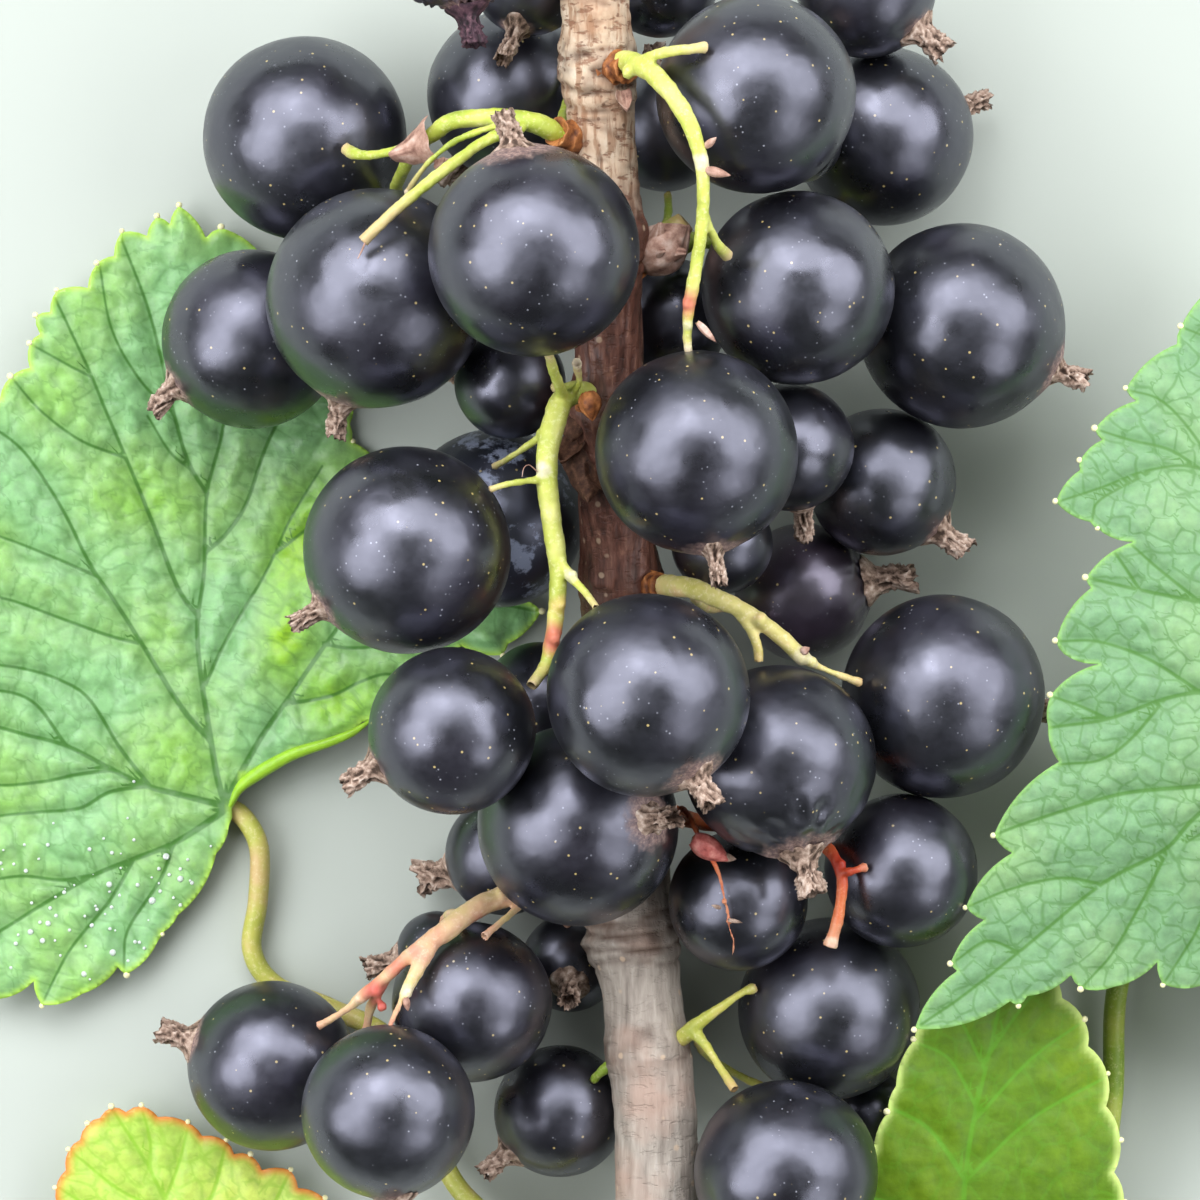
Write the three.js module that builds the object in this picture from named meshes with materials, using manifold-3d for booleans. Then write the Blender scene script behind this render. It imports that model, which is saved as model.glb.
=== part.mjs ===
// Blackcurrant sprig: a length of woody cane with its ripe fruit trusses and four leaves,
// lying on a table as picked. Millimetres, +Z up, table at z = 0, origin under the middle.
import * as THREE from "three";
import { mergeVertices } from "three/addons/utils/BufferGeometryUtils.js";
import Module from "manifold-3d";

const wasm = await Module();
wasm.setup();

const JOINT_GAP = 0.3; // clear space where a stalk meets its berry or the cane

const BERRY_SIDES = 9;
const BERRY_ROWS = 6;
const CALYX_LENGTH = 1.9; // dry flower at the tip of a berry
const CALYX_WIDTH = 1.5;
const CALYX_FLARE = 1.15; // width of its open end over its width at the skin
const CALYX_FLARE_AT = 0.7; // share of its length where it is widest

const STALK_SIDES = 6;
const CANE_SIDES = 8;
const BUD_SWELLING = 1.3; // width of a bud joint over the width of the cane there

const BLADE_THICKNESS = 0.45;
const BLADE_RINGS = 4;
const BLADE_REACH = 6; // how far a height of the blade spreads round the place it is given at
const PETIOLE_WIDTH = 1.25;

// Places on the sprig are given as they are seen from a point straight above it: steps across and
// down a square grid, then millimetres above the table. Only the eye and the sizes are millimetres.
const EYE = [-8.55, 2.9, 420];
const GRID_STEP = 0.0585; // what a step covers at the height of the front berries, 12 mm wide
const GRID_HEIGHT = 20;
const GRID_MIDDLE = 600; // steps from the left edge, and from the top edge, to below the eye

// The cane from its upper cut to its lower one, and its width along three lengths.
const CANE_ROUTE = [
  [590, -175, 18.2], [592, -60, 18], [595, 0, 17.6], [600, 100, 16.8], [605, 200, 16], [608, 320, 14.6],
  [611, 450, 12.8], [618, 560, 10.6], [622, 700, 8.6], [627, 825, 7.3], [634, 920, 7], [643, 1000, 7.2],
  [655, 1110, 7.5], [657, 1200, 7.6], [658, 1370, 7.6],
];
const CANE_LENGTHS = [
  { from: 0, to: 6, width: 4.0 },
  { from: 5, to: 10, width: 4.4 },
  { from: 9, to: 14, width: 5.0 },
];
// The middles of its swollen bud joints, in millimetres.
const BUD_JOINTS = [
  [-8.8, 34.3, 17], [-8.3, 24.3, 15.6], [-7.8, 14.3, 13.4], [-7.5, 3.9, 10.3], [-6.5, -16.6, 7],
  [-5.7, -23.9, 7.3], [-5.2, -37.9, 7.6],
];

// Each truss: its stalks, the main one first, and its berries, with their radii in grid steps. A
// berry's tip points to its calyx.
const TRUSSES = {
  upper_right: {
    stalks: [
      {
        width: 1.6,
        route: [
          [612, 62, 17.8], [630, 62, 20.4], [648, 70, 22.8], [670, 92, 24.8], [690, 125, 25.8],
          [702, 165, 25.8], [703, 210, 25.2], [697, 260, 24.5], [690, 305, 23.8], [687, 347, 23],
        ],
      },
      {
        width: 1.1,
        route: [
          [638, 66, 21.6], [652, 56, 23.2], [672, 51, 24.4], [692, 49, 24.7], [703, 49, 24.4],
        ],
      },
      { width: 1, route: [[703, 212, 25.1], [713, 230, 24], [722, 244, 22.4], [729, 250, 21]] },
    ],
    berries: [
      { at: [697, 452, 21.9], radius: 102, tip: [0.16, -0.97, 0.15] },
      { at: [756, 94, 19.6], radius: 100, tip: [0.45, 0.35, -0.8] },
      { at: [798, 288, 16.8], radius: 97, tip: [0.35, -0.55, -0.75] },
    ],
  },
  upper_left: {
    stalks: [
      {
        width: 1.6,
        route: [
          [580, 138, 17], [555, 132, 18], [535, 123, 18.8], [510, 118, 19], [480, 118, 19],
          [450, 122, 18.6], [430, 136, 18], [398, 150, 17], [370, 155, 15.6], [350, 152, 14],
        ],
      },
      {
        width: 1,
        route: [
          [480, 119, 19], [455, 138, 19.5], [432, 156, 19.4], [418, 172, 18.6], [413, 187, 17.2],
        ],
      },
      {
        width: 1.3,
        route: [
          [515, 119, 19], [490, 136, 20.4], [450, 163, 21.8], [405, 203, 22.6], [366, 237, 22.4],
        ],
      },
      {
        width: 1,
        route: [
          [428, 138, 17.9], [410, 158, 16], [398, 182, 13], [391, 207, 9.2], [370, 232, 5.8],
          [350, 262, 5.2], [334, 287, 6.4],
        ],
      },
      {
        width: 1,
        route: [
          [560, 133, 17.8], [563, 116, 14.8], [570, 90, 12.7], [568, 62, 11.5], [561, 47, 10.7],
        ],
      },
    ],
    berries: [
      { at: [305, 138, 8.2], radius: 102, tip: [-0.42, 0.12, -0.9] },
      { at: [376, 298, 15.65], radius: 110, tip: [-0.32, -0.93, -0.1] },
      { at: [252, 339, 6.7], radius: 90, tip: [-0.84, -0.53, 0.1] },
      { at: [512, 95, 7.5], radius: 85, tip: [-0.5, -0.6, -0.5] },
    ],
  },
  middle_left: {
    stalks: [
      {
        width: 1.6,
        route: [
          [602, 398, 13.6], [578, 392, 16.4], [562, 401, 18], [553, 425, 18.8], [547, 455, 19.2],
          [548, 490, 19.3], [553, 530, 19.2], [558, 572, 19], [556, 610, 18.9], [552, 642, 18.9],
          [545, 666, 19.2], [532, 684, 20.2],
        ],
      },
      { width: 1.2, route: [[566, 396, 17.7], [557, 380, 20.2], [554, 362, 22.2]] },
      { width: 1, route: [[574, 392, 16.9], [580, 378, 18.6], [577, 368, 19.6]] },
      { width: 1, route: [[552, 430, 18.9], [530, 446, 17], [508, 457, 14.6], [493, 462, 12.2]] },
      { width: 0.9, route: [[548, 478, 19.3], [520, 482, 20.4], [504, 485, 20.9], [490, 488, 20.6]] },
      { width: 1, route: [[557, 556, 19.1], [570, 576, 19.7], [585, 592, 20.6], [597, 606, 21.9]] },
      { width: 0.9, route: [[582, 393, 15.8], [565, 388, 15], [552, 388, 14.3]] },
    ],
    berries: [
      { at: [534, 251, 24.1], radius: 106, tip: [-0.19, 0.97, 0.1] },
      { at: [407, 550, 18.5], radius: 104, tip: [-0.82, -0.56, 0.1] },
      { at: [495, 518, 7.2], radius: 90, tip: [0.4, -0.5, -0.72] },
      { at: [452, 731, 21.4], radius: 84, tip: [-0.9, -0.42, 0.05] },
      { at: [648, 695, 24.6], radius: 102, tip: [0.47, -0.8, 0.37] },
      { at: [510, 383, 11.4], radius: 56, tip: [-0.6, 0.1, -0.6] },
    ],
  },
  middle_right: {
    stalks: [
      {
        width: 1.6,
        route: [
          [634, 590, 10.2], [662, 586, 12.6], [690, 588, 15], [715, 597, 16.5], [745, 612, 17.2],
          [775, 632, 17.2], [797, 652, 17], [828, 670, 16.4], [857, 683, 15],
        ],
      },
      { width: 1, route: [[735, 607, 17.1], [750, 628, 17.4], [758, 648, 17.4], [759, 664, 17.4]] },
      { width: 0.9, route: [[690, 588, 14.8], [700, 604, 10.6], [712, 609, 6.8], [730, 607, 4.2]] },
    ],
    berries: [
      { at: [943, 696, 11], radius: 102, tip: [0.82, -0.13, -0.55] },
      { at: [780, 762, 16.5], radius: 97, tip: [0.22, -0.95, 0.2] },
      { at: [804, 592, 4.2], radius: 69, tip: [0.97, 0.17, 0.15] },
    ],
  },
  lower_left: {
    stalks: [
      {
        width: 1.7,
        route: [
          [620, 915, 7.6], [594, 905, 8.4], [562, 897, 9], [530, 893, 9.8], [500, 898, 10.8],
          [470, 912, 11.8], [440, 935, 12.6], [410, 960, 12.8], [385, 980, 12.2], [355, 1002, 11],
          [324, 1022, 9],
        ],
      },
      { width: 0.9, route: [[520, 895, 10], [505, 914, 11.4], [493, 929, 12.2], [483, 940, 12.8]] },
      { width: 1, route: [[410, 960, 12.8], [398, 985, 13.4], [390, 1008, 14.6], [386, 1025, 15.9]] },
      { width: 0.9, route: [[385, 980, 12.2], [372, 1004, 10.2], [366, 1030, 8.4]] },
      { width: 0.9, route: [[545, 895, 9.4], [536, 888, 8.2], [530, 884, 7.5]] },
      { width: 0.9, route: [[560, 897, 9], [563, 912, 7.6], [568, 926, 6.2]] },
      { width: 0.9, route: [[510, 896, 10.3], [500, 872, 10], [502, 850, 10.6], [508, 838, 11.4]] },
      { width: 0.9, route: [[466, 915, 11.6], [452, 914, 8.6], [446, 917, 6], [443, 922, 4.9]] },
    ],
    berries: [
      { at: [272, 1066, 5.4], radius: 85, tip: [-0.9, 0.3, 0.1] },
      { at: [472, 1002, 9], radius: 80, tip: [-0.12, -0.77, -0.62] },
      { at: [388, 1112, 15.3], radius: 87, tip: [0.08, -0.97, 0.1] },
      { at: [578, 825, 15.5], radius: 101, tip: [0.72, 0.08, 0.69] },
      { at: [505, 855, 4.5], radius: 60, tip: [-0.6, -0.2, -0.3] },
      { at: [570, 963, 3.1], radius: 49, tip: [0, -0.4, 0.9] },
      { at: [437, 952, 2.52], radius: 41, tip: [-0.9, -0.2, -0.1] },
    ],
  },
  lower_right: {
    stalks: [
      {
        width: 1.3,
        route: [
          [664, 1046, 7.8], [682, 1038, 8.8], [697, 1024, 9.7], [720, 1006, 10], [740, 994, 10],
          [755, 987, 9.6],
        ],
      },
      { width: 1.1, route: [[693, 1030, 9.4], [706, 1046, 10.1], [721, 1069, 11], [736, 1091, 12]] },
      {
        width: 0.8,
        route: [
          [694, 1028, 9.5], [706, 1054, 6.4], [744, 1078, 3.6], [790, 1096, 2.6], [814, 1105, 2.5],
          [830, 1108, 2.5],
        ],
      },
    ],
    berries: [
      { at: [829, 1009, 6.5], radius: 91, tip: [0.8, -0.25, -0.45] },
      { at: [786, 1172, 11.8], radius: 92, tip: [0.5, -0.8, -0.3] },
      { at: [872, 1112, 2.45], radius: 40, tip: [0.9, -0.3, -0.1] },
    ],
  },
  right_back: {
    stalks: [
      {
        width: 1.5,
        route: [
          [622, 243, 15.4], [655, 240, 12.6], [705, 241, 10], [760, 245, 8.6], [810, 250, 8],
          [845, 259, 8.4], [864, 277, 9.6],
        ],
      },
      { width: 1, route: [[808, 250, 8], [824, 228, 7.6], [836, 209, 7.5]] },
      { width: 0.9, route: [[770, 246, 8.5], [776, 226, 9.6], [784, 205, 10.9], [790, 192, 12]] },
      { width: 0.9, route: [[660, 240, 12.2], [668, 215, 9.8], [668, 194, 7.4]] },
      { width: 0.9, route: [[698, 241, 10.4], [686, 250, 10.4], [678, 258, 9.8]] },
      { width: 2.2, route: [[625, 262, 15.4], [642, 256, 14.6], [664, 240, 14.2], [686, 222, 14.4]] },
    ],
    berries: [
      { at: [962, 326, 10.4], radius: 103, tip: [0.9, -0.43, 0.05] },
      { at: [883, 136, 5.45], radius: 90, tip: [0.8, 0.3, -0.3] },
      { at: [800, 141, 11.8], radius: 42, tip: [-0.8, 0.1, -0.3] },
      { at: [665, 130, 6], radius: 62, tip: [-0.2, 0.8, -0.4] },
      { at: [670, 318, 8], radius: 60, tip: [-0.1, -0.8, -0.5] },
    ],
  },
  right_middle: {
    stalks: [
      {
        width: 1.3,
        route: [
          [628, 436, 12.4], [665, 440, 9.8], [720, 443, 7.6], [770, 441, 6.8], [803, 437, 6.7],
          [823, 434, 7.2],
        ],
      },
      { width: 0.9, route: [[718, 443, 7.8], [731, 441, 9.6], [737, 441, 11.2]] },
      { width: 0.9, route: [[672, 440, 9.5], [690, 465, 10.4], [706, 484, 11.3], [715, 493, 11.8]] },
    ],
    berries: [
      { at: [882, 482, 7.6], radius: 74, tip: [0.75, -0.65, 0.1] },
      { at: [790, 447, 13.4], radius: 64, tip: [0.2, -0.9, -0.4] },
      { at: [722, 543, 11], radius: 51, tip: [0.15, -0.3, -0.95] },
    ],
  },
  top_left: {
    stalks: [
      {
        width: 1.4,
        route: [
          [584, -66, 17.2], [560, -82, 16], [528, -104, 14.2], [488, -132, 13.4], [456, -166, 15.2],
          [444, -172, 17.6], [441, -160, 19.4],
        ],
      },
      { width: 0.9, route: [[540, -96, 14.9], [533, -90, 14.6], [531, -83, 14.2]] },
    ],
    berries: [
      { at: [455, -70, 20.3], radius: 83, tip: [0.15, -0.98, 0.1] },
      { at: [530, -22, 13.5], radius: 58, tip: [-0.2, -0.8, 0.3] },
    ],
  },
  top_right: {
    stalks: [
      {
        width: 1.4,
        route: [
          [604, -92, 17.8], [650, -98, 15.2], [705, -94, 12.6], [760, -84, 10.8], [798, -68, 10],
          [812, -56, 9.9],
        ],
      },
      { width: 0.9, route: [[690, -95, 13.2], [680, -88, 11.6], [674, -79, 9.8]] },
    ],
    berries: [
      { at: [866, -12, 9.9], radius: 70, tip: [0.6, -0.5, 0.2] },
      { at: [660, -22, 8], radius: 60, tip: [0.5, 0.7, 0.2] },
    ],
  },
  left_back: {
    stalks: [
      { width: 1.1, route: [[612, 650, 8.9], [594, 652, 8.4], [582, 656, 7.8], [573, 664, 7.3]] },
    ],
    berries: [
      { at: [540, 700, 5], radius: 58, tip: [-0.2, -0.8, -0.3] },
    ],
  },
  lower_middle: {
    stalks: [
      {
        width: 1.4,
        route: [
          [640, 803, 7.8], [668, 812, 8.6], [700, 822, 8], [755, 826, 7.4], [792, 832, 8.8],
          [812, 838, 11.6], [829, 850, 14], [841, 874, 14.9], [840, 908, 15], [833, 945, 14.8],
        ],
      },
      { width: 0.9, route: [[695, 822, 8.2], [712, 826, 9.6], [722, 829, 10.6]] },
      { width: 0.9, route: [[840, 869, 14.8], [852, 868, 15.4], [862, 868, 15.2], [869, 868, 14.6]] },
      {
        width: 0.8,
        route: [
          [690, 818, 8.4], [682, 812, 12], [688, 818, 14.6], [700, 834, 15.8], [714, 854, 16.4],
          [725, 880, 16], [731, 912, 15.7], [735, 948, 14.6],
        ],
      },
    ],
    berries: [
      { at: [738, 901, 11.2], radius: 70, tip: [0, -0.5, -0.85] },
      { at: [901, 871, 10.6], radius: 77, tip: [0.5, -0.03, -0.86] },
    ],
  },
  lower_back: {
    stalks: [
      { width: 1.1, route: [[632, 1058, 7.3], [610, 1066, 7.6], [599, 1074, 7.4], [592, 1082, 6.9]] },
    ],
    berries: [
      { at: [560, 1111, 4.1], radius: 66, tip: [-0.75, -0.6, 0.1] },
    ],
  },
};

// Each leaf: where its stalk meets the blade, the outline of the blade, the heights that the blade
// passes through, and the route of the leaf stalk to the cane.
const LEAVES = {
  left: {
    hub: [225, 812],
    outline: [
      [241, 778], [292, 751], [351, 733], [367, 725], [410, 690], [457, 644], [502, 654], [524, 630],
      [540, 611], [520, 566], [480, 534], [440, 505], [400, 475], [350, 445], [348, 400], [342, 350],
      [318, 300], [280, 255], [221, 228], [177, 207], [157, 217], [122, 232], [97, 264], [57, 291],
      [36, 315], [30, 343], [11, 377], [-15, 420], [-40, 470], [-58, 520], [-75, 580], [-80, 640],
      [-70, 700], [-58, 760], [-40, 820], [-25, 880], [-5, 940], [20, 985], [45, 1003], [88, 992],
      [129, 976], [163, 934], [204, 875], [222, 837],
    ],
    heights: [
      [225, 812, 2], [260, 640, 0.6], [252, 339, 0.2], [122, 232, 2.4], [221, 228, 1.2], [30, 343, 3.2],
      [-70, 560, 4.6], [60, 560, 1.6], [150, 500, 0.3], [-30, 820, 3.6], [90, 800, 0.8], [60, 990, 2.6],
      [150, 930, 1.2], [300, 745, 3.6], [360, 640, 0.8], [420, 690, 3.2], [480, 560, 0.35],
      [530, 620, 1.2], [380, 470, 0.4], [330, 330, 0.3],
    ],
    petiole: [
      [226, 806, 1.2], [244, 818, 1.2], [259, 848, 1.5], [258, 900, 1.2], [252, 950, 1.1], [275, 985, 1],
      [330, 1008, 1], [390, 1040, 1.2], [425, 1110, 1.4], [460, 1190, 2.2], [540, 1248, 4],
      [636, 1268, 6.4],
    ],
  },
  right: {
    hub: [1370, 690],
    outline: [
      [1340, 668], [1390, 600], [1405, 530], [1415, 450], [1400, 380], [1370, 330], [1345, 275],
      [1300, 250], [1250, 262], [1205, 290], [1181, 328], [1126, 389], [1095, 429], [1080, 461],
      [1056, 502], [1099, 528], [1086, 577], [1056, 640], [1051, 695], [1057, 762], [994, 834],
      [982, 917], [966, 907], [951, 962], [915, 1029], [1018, 1005], [1081, 987], [1163, 983],
      [1230, 1002], [1290, 1052], [1350, 1092], [1420, 1095], [1462, 1062], [1482, 1010], [1520, 985],
      [1560, 930], [1555, 870], [1530, 800], [1480, 740], [1420, 715],
    ],
    heights: [
      [915, 1029, 11.5], [966, 907, 12.9], [994, 834, 13.4], [1051, 695, 14], [1056, 502, 13.4],
      [1181, 328, 12], [1300, 250, 9], [1400, 450, 8.5], [1370, 690, 11.6], [1200, 780, 15.4],
      [1220, 560, 14.8], [1081, 987, 11.6], [1163, 983, 11.4], [1290, 1050, 7.8], [1462, 1062, 3.6],
      [1560, 930, 1.4], [1480, 740, 6.4], [1400, 860, 9.4],
    ],
    petiole: [
      [1368, 690, 11.6], [1372, 672, 11.4], [1350, 662, 10.2], [1300, 690, 8.2], [1230, 752, 5.6],
      [1160, 860, 3.4], [1118, 985, 2.2], [1112, 1100, 1.8], [1092, 1200, 1.8], [1020, 1300, 2.2],
      [900, 1352, 3.4], [780, 1336, 5.2], [676, 1300, 7.2],
    ],
  },
  young: {
    hub: [230, 1400],
    outline: [
      [262, 1420], [300, 1408], [335, 1370], [352, 1325], [350, 1280], [338, 1240], [322, 1198],
      [289, 1171], [248, 1156], [225, 1142], [186, 1125], [140, 1106], [113, 1110], [87, 1127],
      [70, 1149], [57, 1187], [50, 1230], [62, 1280], [90, 1330], [130, 1380], [175, 1412], [208, 1418],
    ],
    heights: [
      [230, 1400, 1.6], [200, 1250, 0.5], [330, 1210, 2.2], [290, 1171, 1.8], [225, 1142, 1.6],
      [113, 1110, 3.2], [57, 1187, 3.6], [60, 1290, 3], [150, 1390, 1.6], [335, 1370, 2.4],
      [345, 1290, 2.2],
    ],
    petiole: [
      [231, 1402, 1.6], [262, 1428, 1.5], [340, 1440, 1.6], [450, 1408, 2.6], [550, 1350, 4.6],
      [636, 1300, 6.6],
    ],
  },
  lower_right: {
    hub: [950, 1330],
    outline: [
      [925, 1352], [885, 1345], [858, 1315], [848, 1270], [856, 1215], [868, 1165], [884, 1120],
      [900, 1078], [915, 1040], [940, 1000], [975, 965], [1012, 945], [1050, 975], [1082, 1020],
      [1105, 1075], [1118, 1140], [1122, 1200], [1105, 1262], [1070, 1310], [1020, 1345], [980, 1352],
    ],
    heights: [
      [950, 1330, 4.9], [880, 1330, 6.2], [856, 1215, 7.6], [884, 1120, 8.6], [915, 1040, 9.6],
      [1012, 945, 8.8], [1105, 1075, 6.4], [1122, 1200, 5.2], [1070, 1310, 4.6], [980, 1150, 8.8],
      [980, 1240, 7.4],
    ],
    petiole: [
      [951, 1326, 4.5], [920, 1350, 5.4], [870, 1345, 6.6], [810, 1316, 7.6], [750, 1290, 8.4],
      [676, 1264, 8.8],
    ],
  },
};

const ripeSkin = { color: 0x1c1a2b, roughness: 0.38 };
const greenStalk = { color: 0xa9b94a, roughness: 0.6 };
const caneBark = { color: 0x9a7b5c, roughness: 0.85 };
const leafGreen = { color: 0x6fb356, roughness: 0.6 };

const vector = (point) => new THREE.Vector3(...point);

// Millimetres that a grid step covers at a height over the table.
const stepAt = (height) => (GRID_STEP * (EYE[2] - height)) / (EYE[2] - GRID_HEIGHT);

// The point of a height that lies under a grid point.
function seenAt([across, down, height]) {
  const step = stepAt(height);
  return [EYE[0] + (across - GRID_MIDDLE) * step, EYE[1] + (GRID_MIDDLE - down) * step, height];
}

// A closed geometry as a solid that can be joined and cut.
function solidOf(geometry) {
  const bare = geometry.clone();
  bare.deleteAttribute("normal");
  bare.deleteAttribute("uv");
  const merged = mergeVertices(bare, 1e-3);
  return new wasm.Manifold(
    new wasm.Mesh({
      numProp: 3,
      vertProperties: new Float32Array(merged.attributes.position.array),
      triVerts: new Uint32Array(merged.index.array),
    }),
  );
}

function geometryOf(solid) {
  const mesh = solid.getMesh();
  const geometry = new THREE.BufferGeometry();
  geometry.setAttribute("position", new THREE.BufferAttribute(mesh.vertProperties, 3));
  geometry.setIndex(new THREE.BufferAttribute(mesh.triVerts, 1));
  geometry.computeVertexNormals();
  return geometry;
}

// A round stalk of even width along a smooth route.
function tube(route, width, sides) {
  const section = new THREE.Shape();
  section.absarc(0, 0, width / 2, 0, 2 * Math.PI);
  const path = new THREE.CatmullRomCurve3(route.map(vector));
  return new THREE.ExtrudeGeometry(section, {
    steps: route.length - 1,
    curveSegments: sides / 2,
    extrudePath: path,
    bevelEnabled: false,
  });
}

function joined(geometries) {
  return geometries.map(solidOf).reduce((whole, piece) => whole.add(piece));
}

// The cane with its swollen bud joints, made wider all round by a clearance.
function caneSolid(clearance) {
  const line = CANE_ROUTE.map(seenAt);
  const lengths = CANE_LENGTHS.map(({ from, to, width }) =>
    tube(line.slice(from, to + 1), width + 2 * clearance, CANE_SIDES),
  );
  const joints = BUD_JOINTS.map((place) => {
    const width = place[1] > 0 ? CANE_LENGTHS[0].width : CANE_LENGTHS[2].width;
    const radius = (width * BUD_SWELLING) / 2 + clearance;
    return new THREE.SphereGeometry(radius, CANE_SIDES, 4).translate(...place);
  });
  return joined([...lengths, ...joints]);
}

const radiusOf = (berry) => berry.radius * stepAt(berry.at[2]);

// A round berry on its axis, from the foot of its stalk to the ragged tip of its calyx.
function berryGeometry(berry) {
  const radius = radiusOf(berry);
  const neck = Math.asin(CALYX_WIDTH / 2 / radius);
  const profile = [];
  for (let row = 0; row <= BERRY_ROWS; row++) {
    const turn = (row / BERRY_ROWS) * (Math.PI - neck);
    profile.push(new THREE.Vector2(radius * Math.sin(turn), -radius * Math.cos(turn)));
  }
  profile[0].x = 0;
  const flare = (CALYX_WIDTH / 2) * CALYX_FLARE;
  profile.push(new THREE.Vector2(flare, radius + CALYX_LENGTH * CALYX_FLARE_AT));
  profile.push(new THREE.Vector2(0, radius + CALYX_LENGTH));
  const axis = new THREE.Quaternion().setFromUnitVectors(
    new THREE.Vector3(0, 1, 0),
    vector(berry.tip).normalize(),
  );
  const ball = new THREE.LatheGeometry(profile, BERRY_SIDES).applyQuaternion(axis);
  return ball.translate(...seenAt(berry.at));
}

// All the stalks of one truss, cut clear of its berries and of the cane.
function trussSolid({ stalks, berries }) {
  const branches = stalks.map(({ width, route }) => tube(route.map(seenAt), width, STALK_SIDES));
  let solid = joined(branches).subtract(caneSolid(JOINT_GAP));
  for (const berry of berries) {
    const ball = new THREE.SphereGeometry(radiusOf(berry) + JOINT_GAP, 12, 8);
    const room = ball.translate(...seenAt(berry.at));
    solid = solid.subtract(solidOf(room));
  }
  return solid;
}

// The height of a blade at one place: the mean of the given heights, the near ones counting most.
function bladeHeight(x, y, heights) {
  let sum = 0;
  let weights = 0;
  for (const [px, py, pz] of heights) {
    const weight = Math.exp(-((x - px) ** 2 + (y - py) ** 2) / (2 * BLADE_REACH ** 2)) + 1e-9;
    sum += weight * pz;
    weights += weight;
  }
  return sum / weights;
}

// The place on a blade that is seen at a grid point. Each round takes the height found at the last
// place, and they settle at once because the blade is nearly level.
function onBlade([across, down], heights) {
  let place = seenAt([across, down, GRID_HEIGHT]);
  for (let round = 0; round < 6; round++) {
    place = seenAt([across, down, bladeHeight(place[0], place[1], heights)]);
  }
  return new THREE.Vector2(place[0], place[1]);
}

// A thin blade. A flattened ball gives the closed surface: its two poles go to the hub, its equator
// to the outline, and each ring between them a share of the way out.
function bladeGeometry(leaf) {
  const heights = leaf.heights.map(seenAt);
  const rim = leaf.outline.map((point) => onBlade(point, heights));
  if (THREE.ShapeUtils.isClockWise(rim)) rim.reverse();
  const geometry = new THREE.SphereGeometry(1, rim.length, 2 * BLADE_RINGS);
  const place = geometry.attributes.position;
  const middle = onBlade(leaf.hub, heights);
  for (let n = 0; n < place.count; n++) {
    const spoke = (n % (rim.length + 1)) % rim.length;
    const ring = Math.floor(n / (rim.length + 1));
    const share = 1 - Math.abs(ring / BLADE_RINGS - 1);
    const spot = middle.clone().lerp(rim[spoke], share);
    const side = Math.sign(BLADE_RINGS - ring) * (BLADE_THICKNESS / 2);
    place.setXYZ(n, spot.x, spot.y, bladeHeight(spot.x, spot.y, heights) + side);
  }
  return geometry;
}

function leafSolid(leaf) {
  const petiole = tube(leaf.petiole.map(seenAt), PETIOLE_WIDTH, STALK_SIDES);
  return joined([bladeGeometry(leaf), petiole]).subtract(caneSolid(JOINT_GAP));
}

function piece(name, geometry, finish) {
  const mesh = new THREE.Mesh(geometry, new THREE.MeshStandardMaterial({ metalness: 0, ...finish }));
  mesh.name = name;
  return mesh;
}

const sprig = new THREE.Group();
sprig.add(piece("cane", geometryOf(caneSolid(0)), caneBark));
for (const [name, truss] of Object.entries(TRUSSES)) {
  const cluster = new THREE.Group();
  cluster.add(piece(`strig_${name}`, geometryOf(trussSolid(truss)), greenStalk));
  truss.berries.forEach((berry, n) => {
    cluster.add(piece(`berry_${name}_${n + 1}`, berryGeometry(berry), ripeSkin));
  });
  sprig.add(cluster);
}
for (const [name, leaf] of Object.entries(LEAVES)) {
  sprig.add(piece(`leaf_${name}`, geometryOf(leafSolid(leaf)), leafGreen));
}

export default sprig;
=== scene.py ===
import math
import random

import bmesh
import bpy
import numpy as np
from mathutils import Matrix, Vector, noise
from mathutils.kdtree import KDTree


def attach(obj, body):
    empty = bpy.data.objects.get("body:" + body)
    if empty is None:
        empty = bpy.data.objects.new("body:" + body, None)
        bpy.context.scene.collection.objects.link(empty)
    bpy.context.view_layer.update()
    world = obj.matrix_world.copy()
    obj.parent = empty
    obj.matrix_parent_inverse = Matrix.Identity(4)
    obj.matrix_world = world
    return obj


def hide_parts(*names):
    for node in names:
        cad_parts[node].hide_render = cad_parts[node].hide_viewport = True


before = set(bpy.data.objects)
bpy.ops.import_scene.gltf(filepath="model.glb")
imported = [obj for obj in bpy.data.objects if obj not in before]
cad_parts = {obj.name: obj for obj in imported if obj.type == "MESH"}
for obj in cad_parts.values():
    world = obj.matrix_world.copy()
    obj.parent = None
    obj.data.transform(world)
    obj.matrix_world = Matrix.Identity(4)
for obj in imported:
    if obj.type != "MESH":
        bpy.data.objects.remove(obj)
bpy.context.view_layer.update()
print("frame loaded:", len(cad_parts), "pieces")

metre = 0.001  # sizes below are millimetres, and a piece becomes metres when it is finished
noise.seed_set(1)  # vector noise starts from the clock unless it is seeded

# routes and edges are set out on a square grid as seen from one point above the sprig: steps
# across and down, then millimetres above the table
sight = {
    "eye": (-8.55, 2.9, 420),  # millimetres
    "steps": 1200,
    "step": 0.0585,  # width of a step at the height of the front fruit
    "frontHeight": 20,
}


def seenAt(points):
    # millimetre places of rows of (across, down, height, ...); further columns stay as they are
    places = np.array(points, float)
    x, y, z = sight["eye"]
    step = sight["step"] * (z - places[:, 2]) / (z - sight["frontHeight"])
    places[:, 0] = x + (places[:, 0] - sight["steps"] / 2) * step
    places[:, 1] = y + (sight["steps"] / 2 - places[:, 1]) * step
    return places


def pathPoints(path):
    # "across,down across,down ..." as pairs, and whether each ends in a star
    marks = [mark.endswith("*") for mark in path.split()]
    pairs = [[float(number) for number in pair.strip("*").split(",")] for pair in path.split()]
    return np.array(pairs), marks


# bench tools

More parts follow.
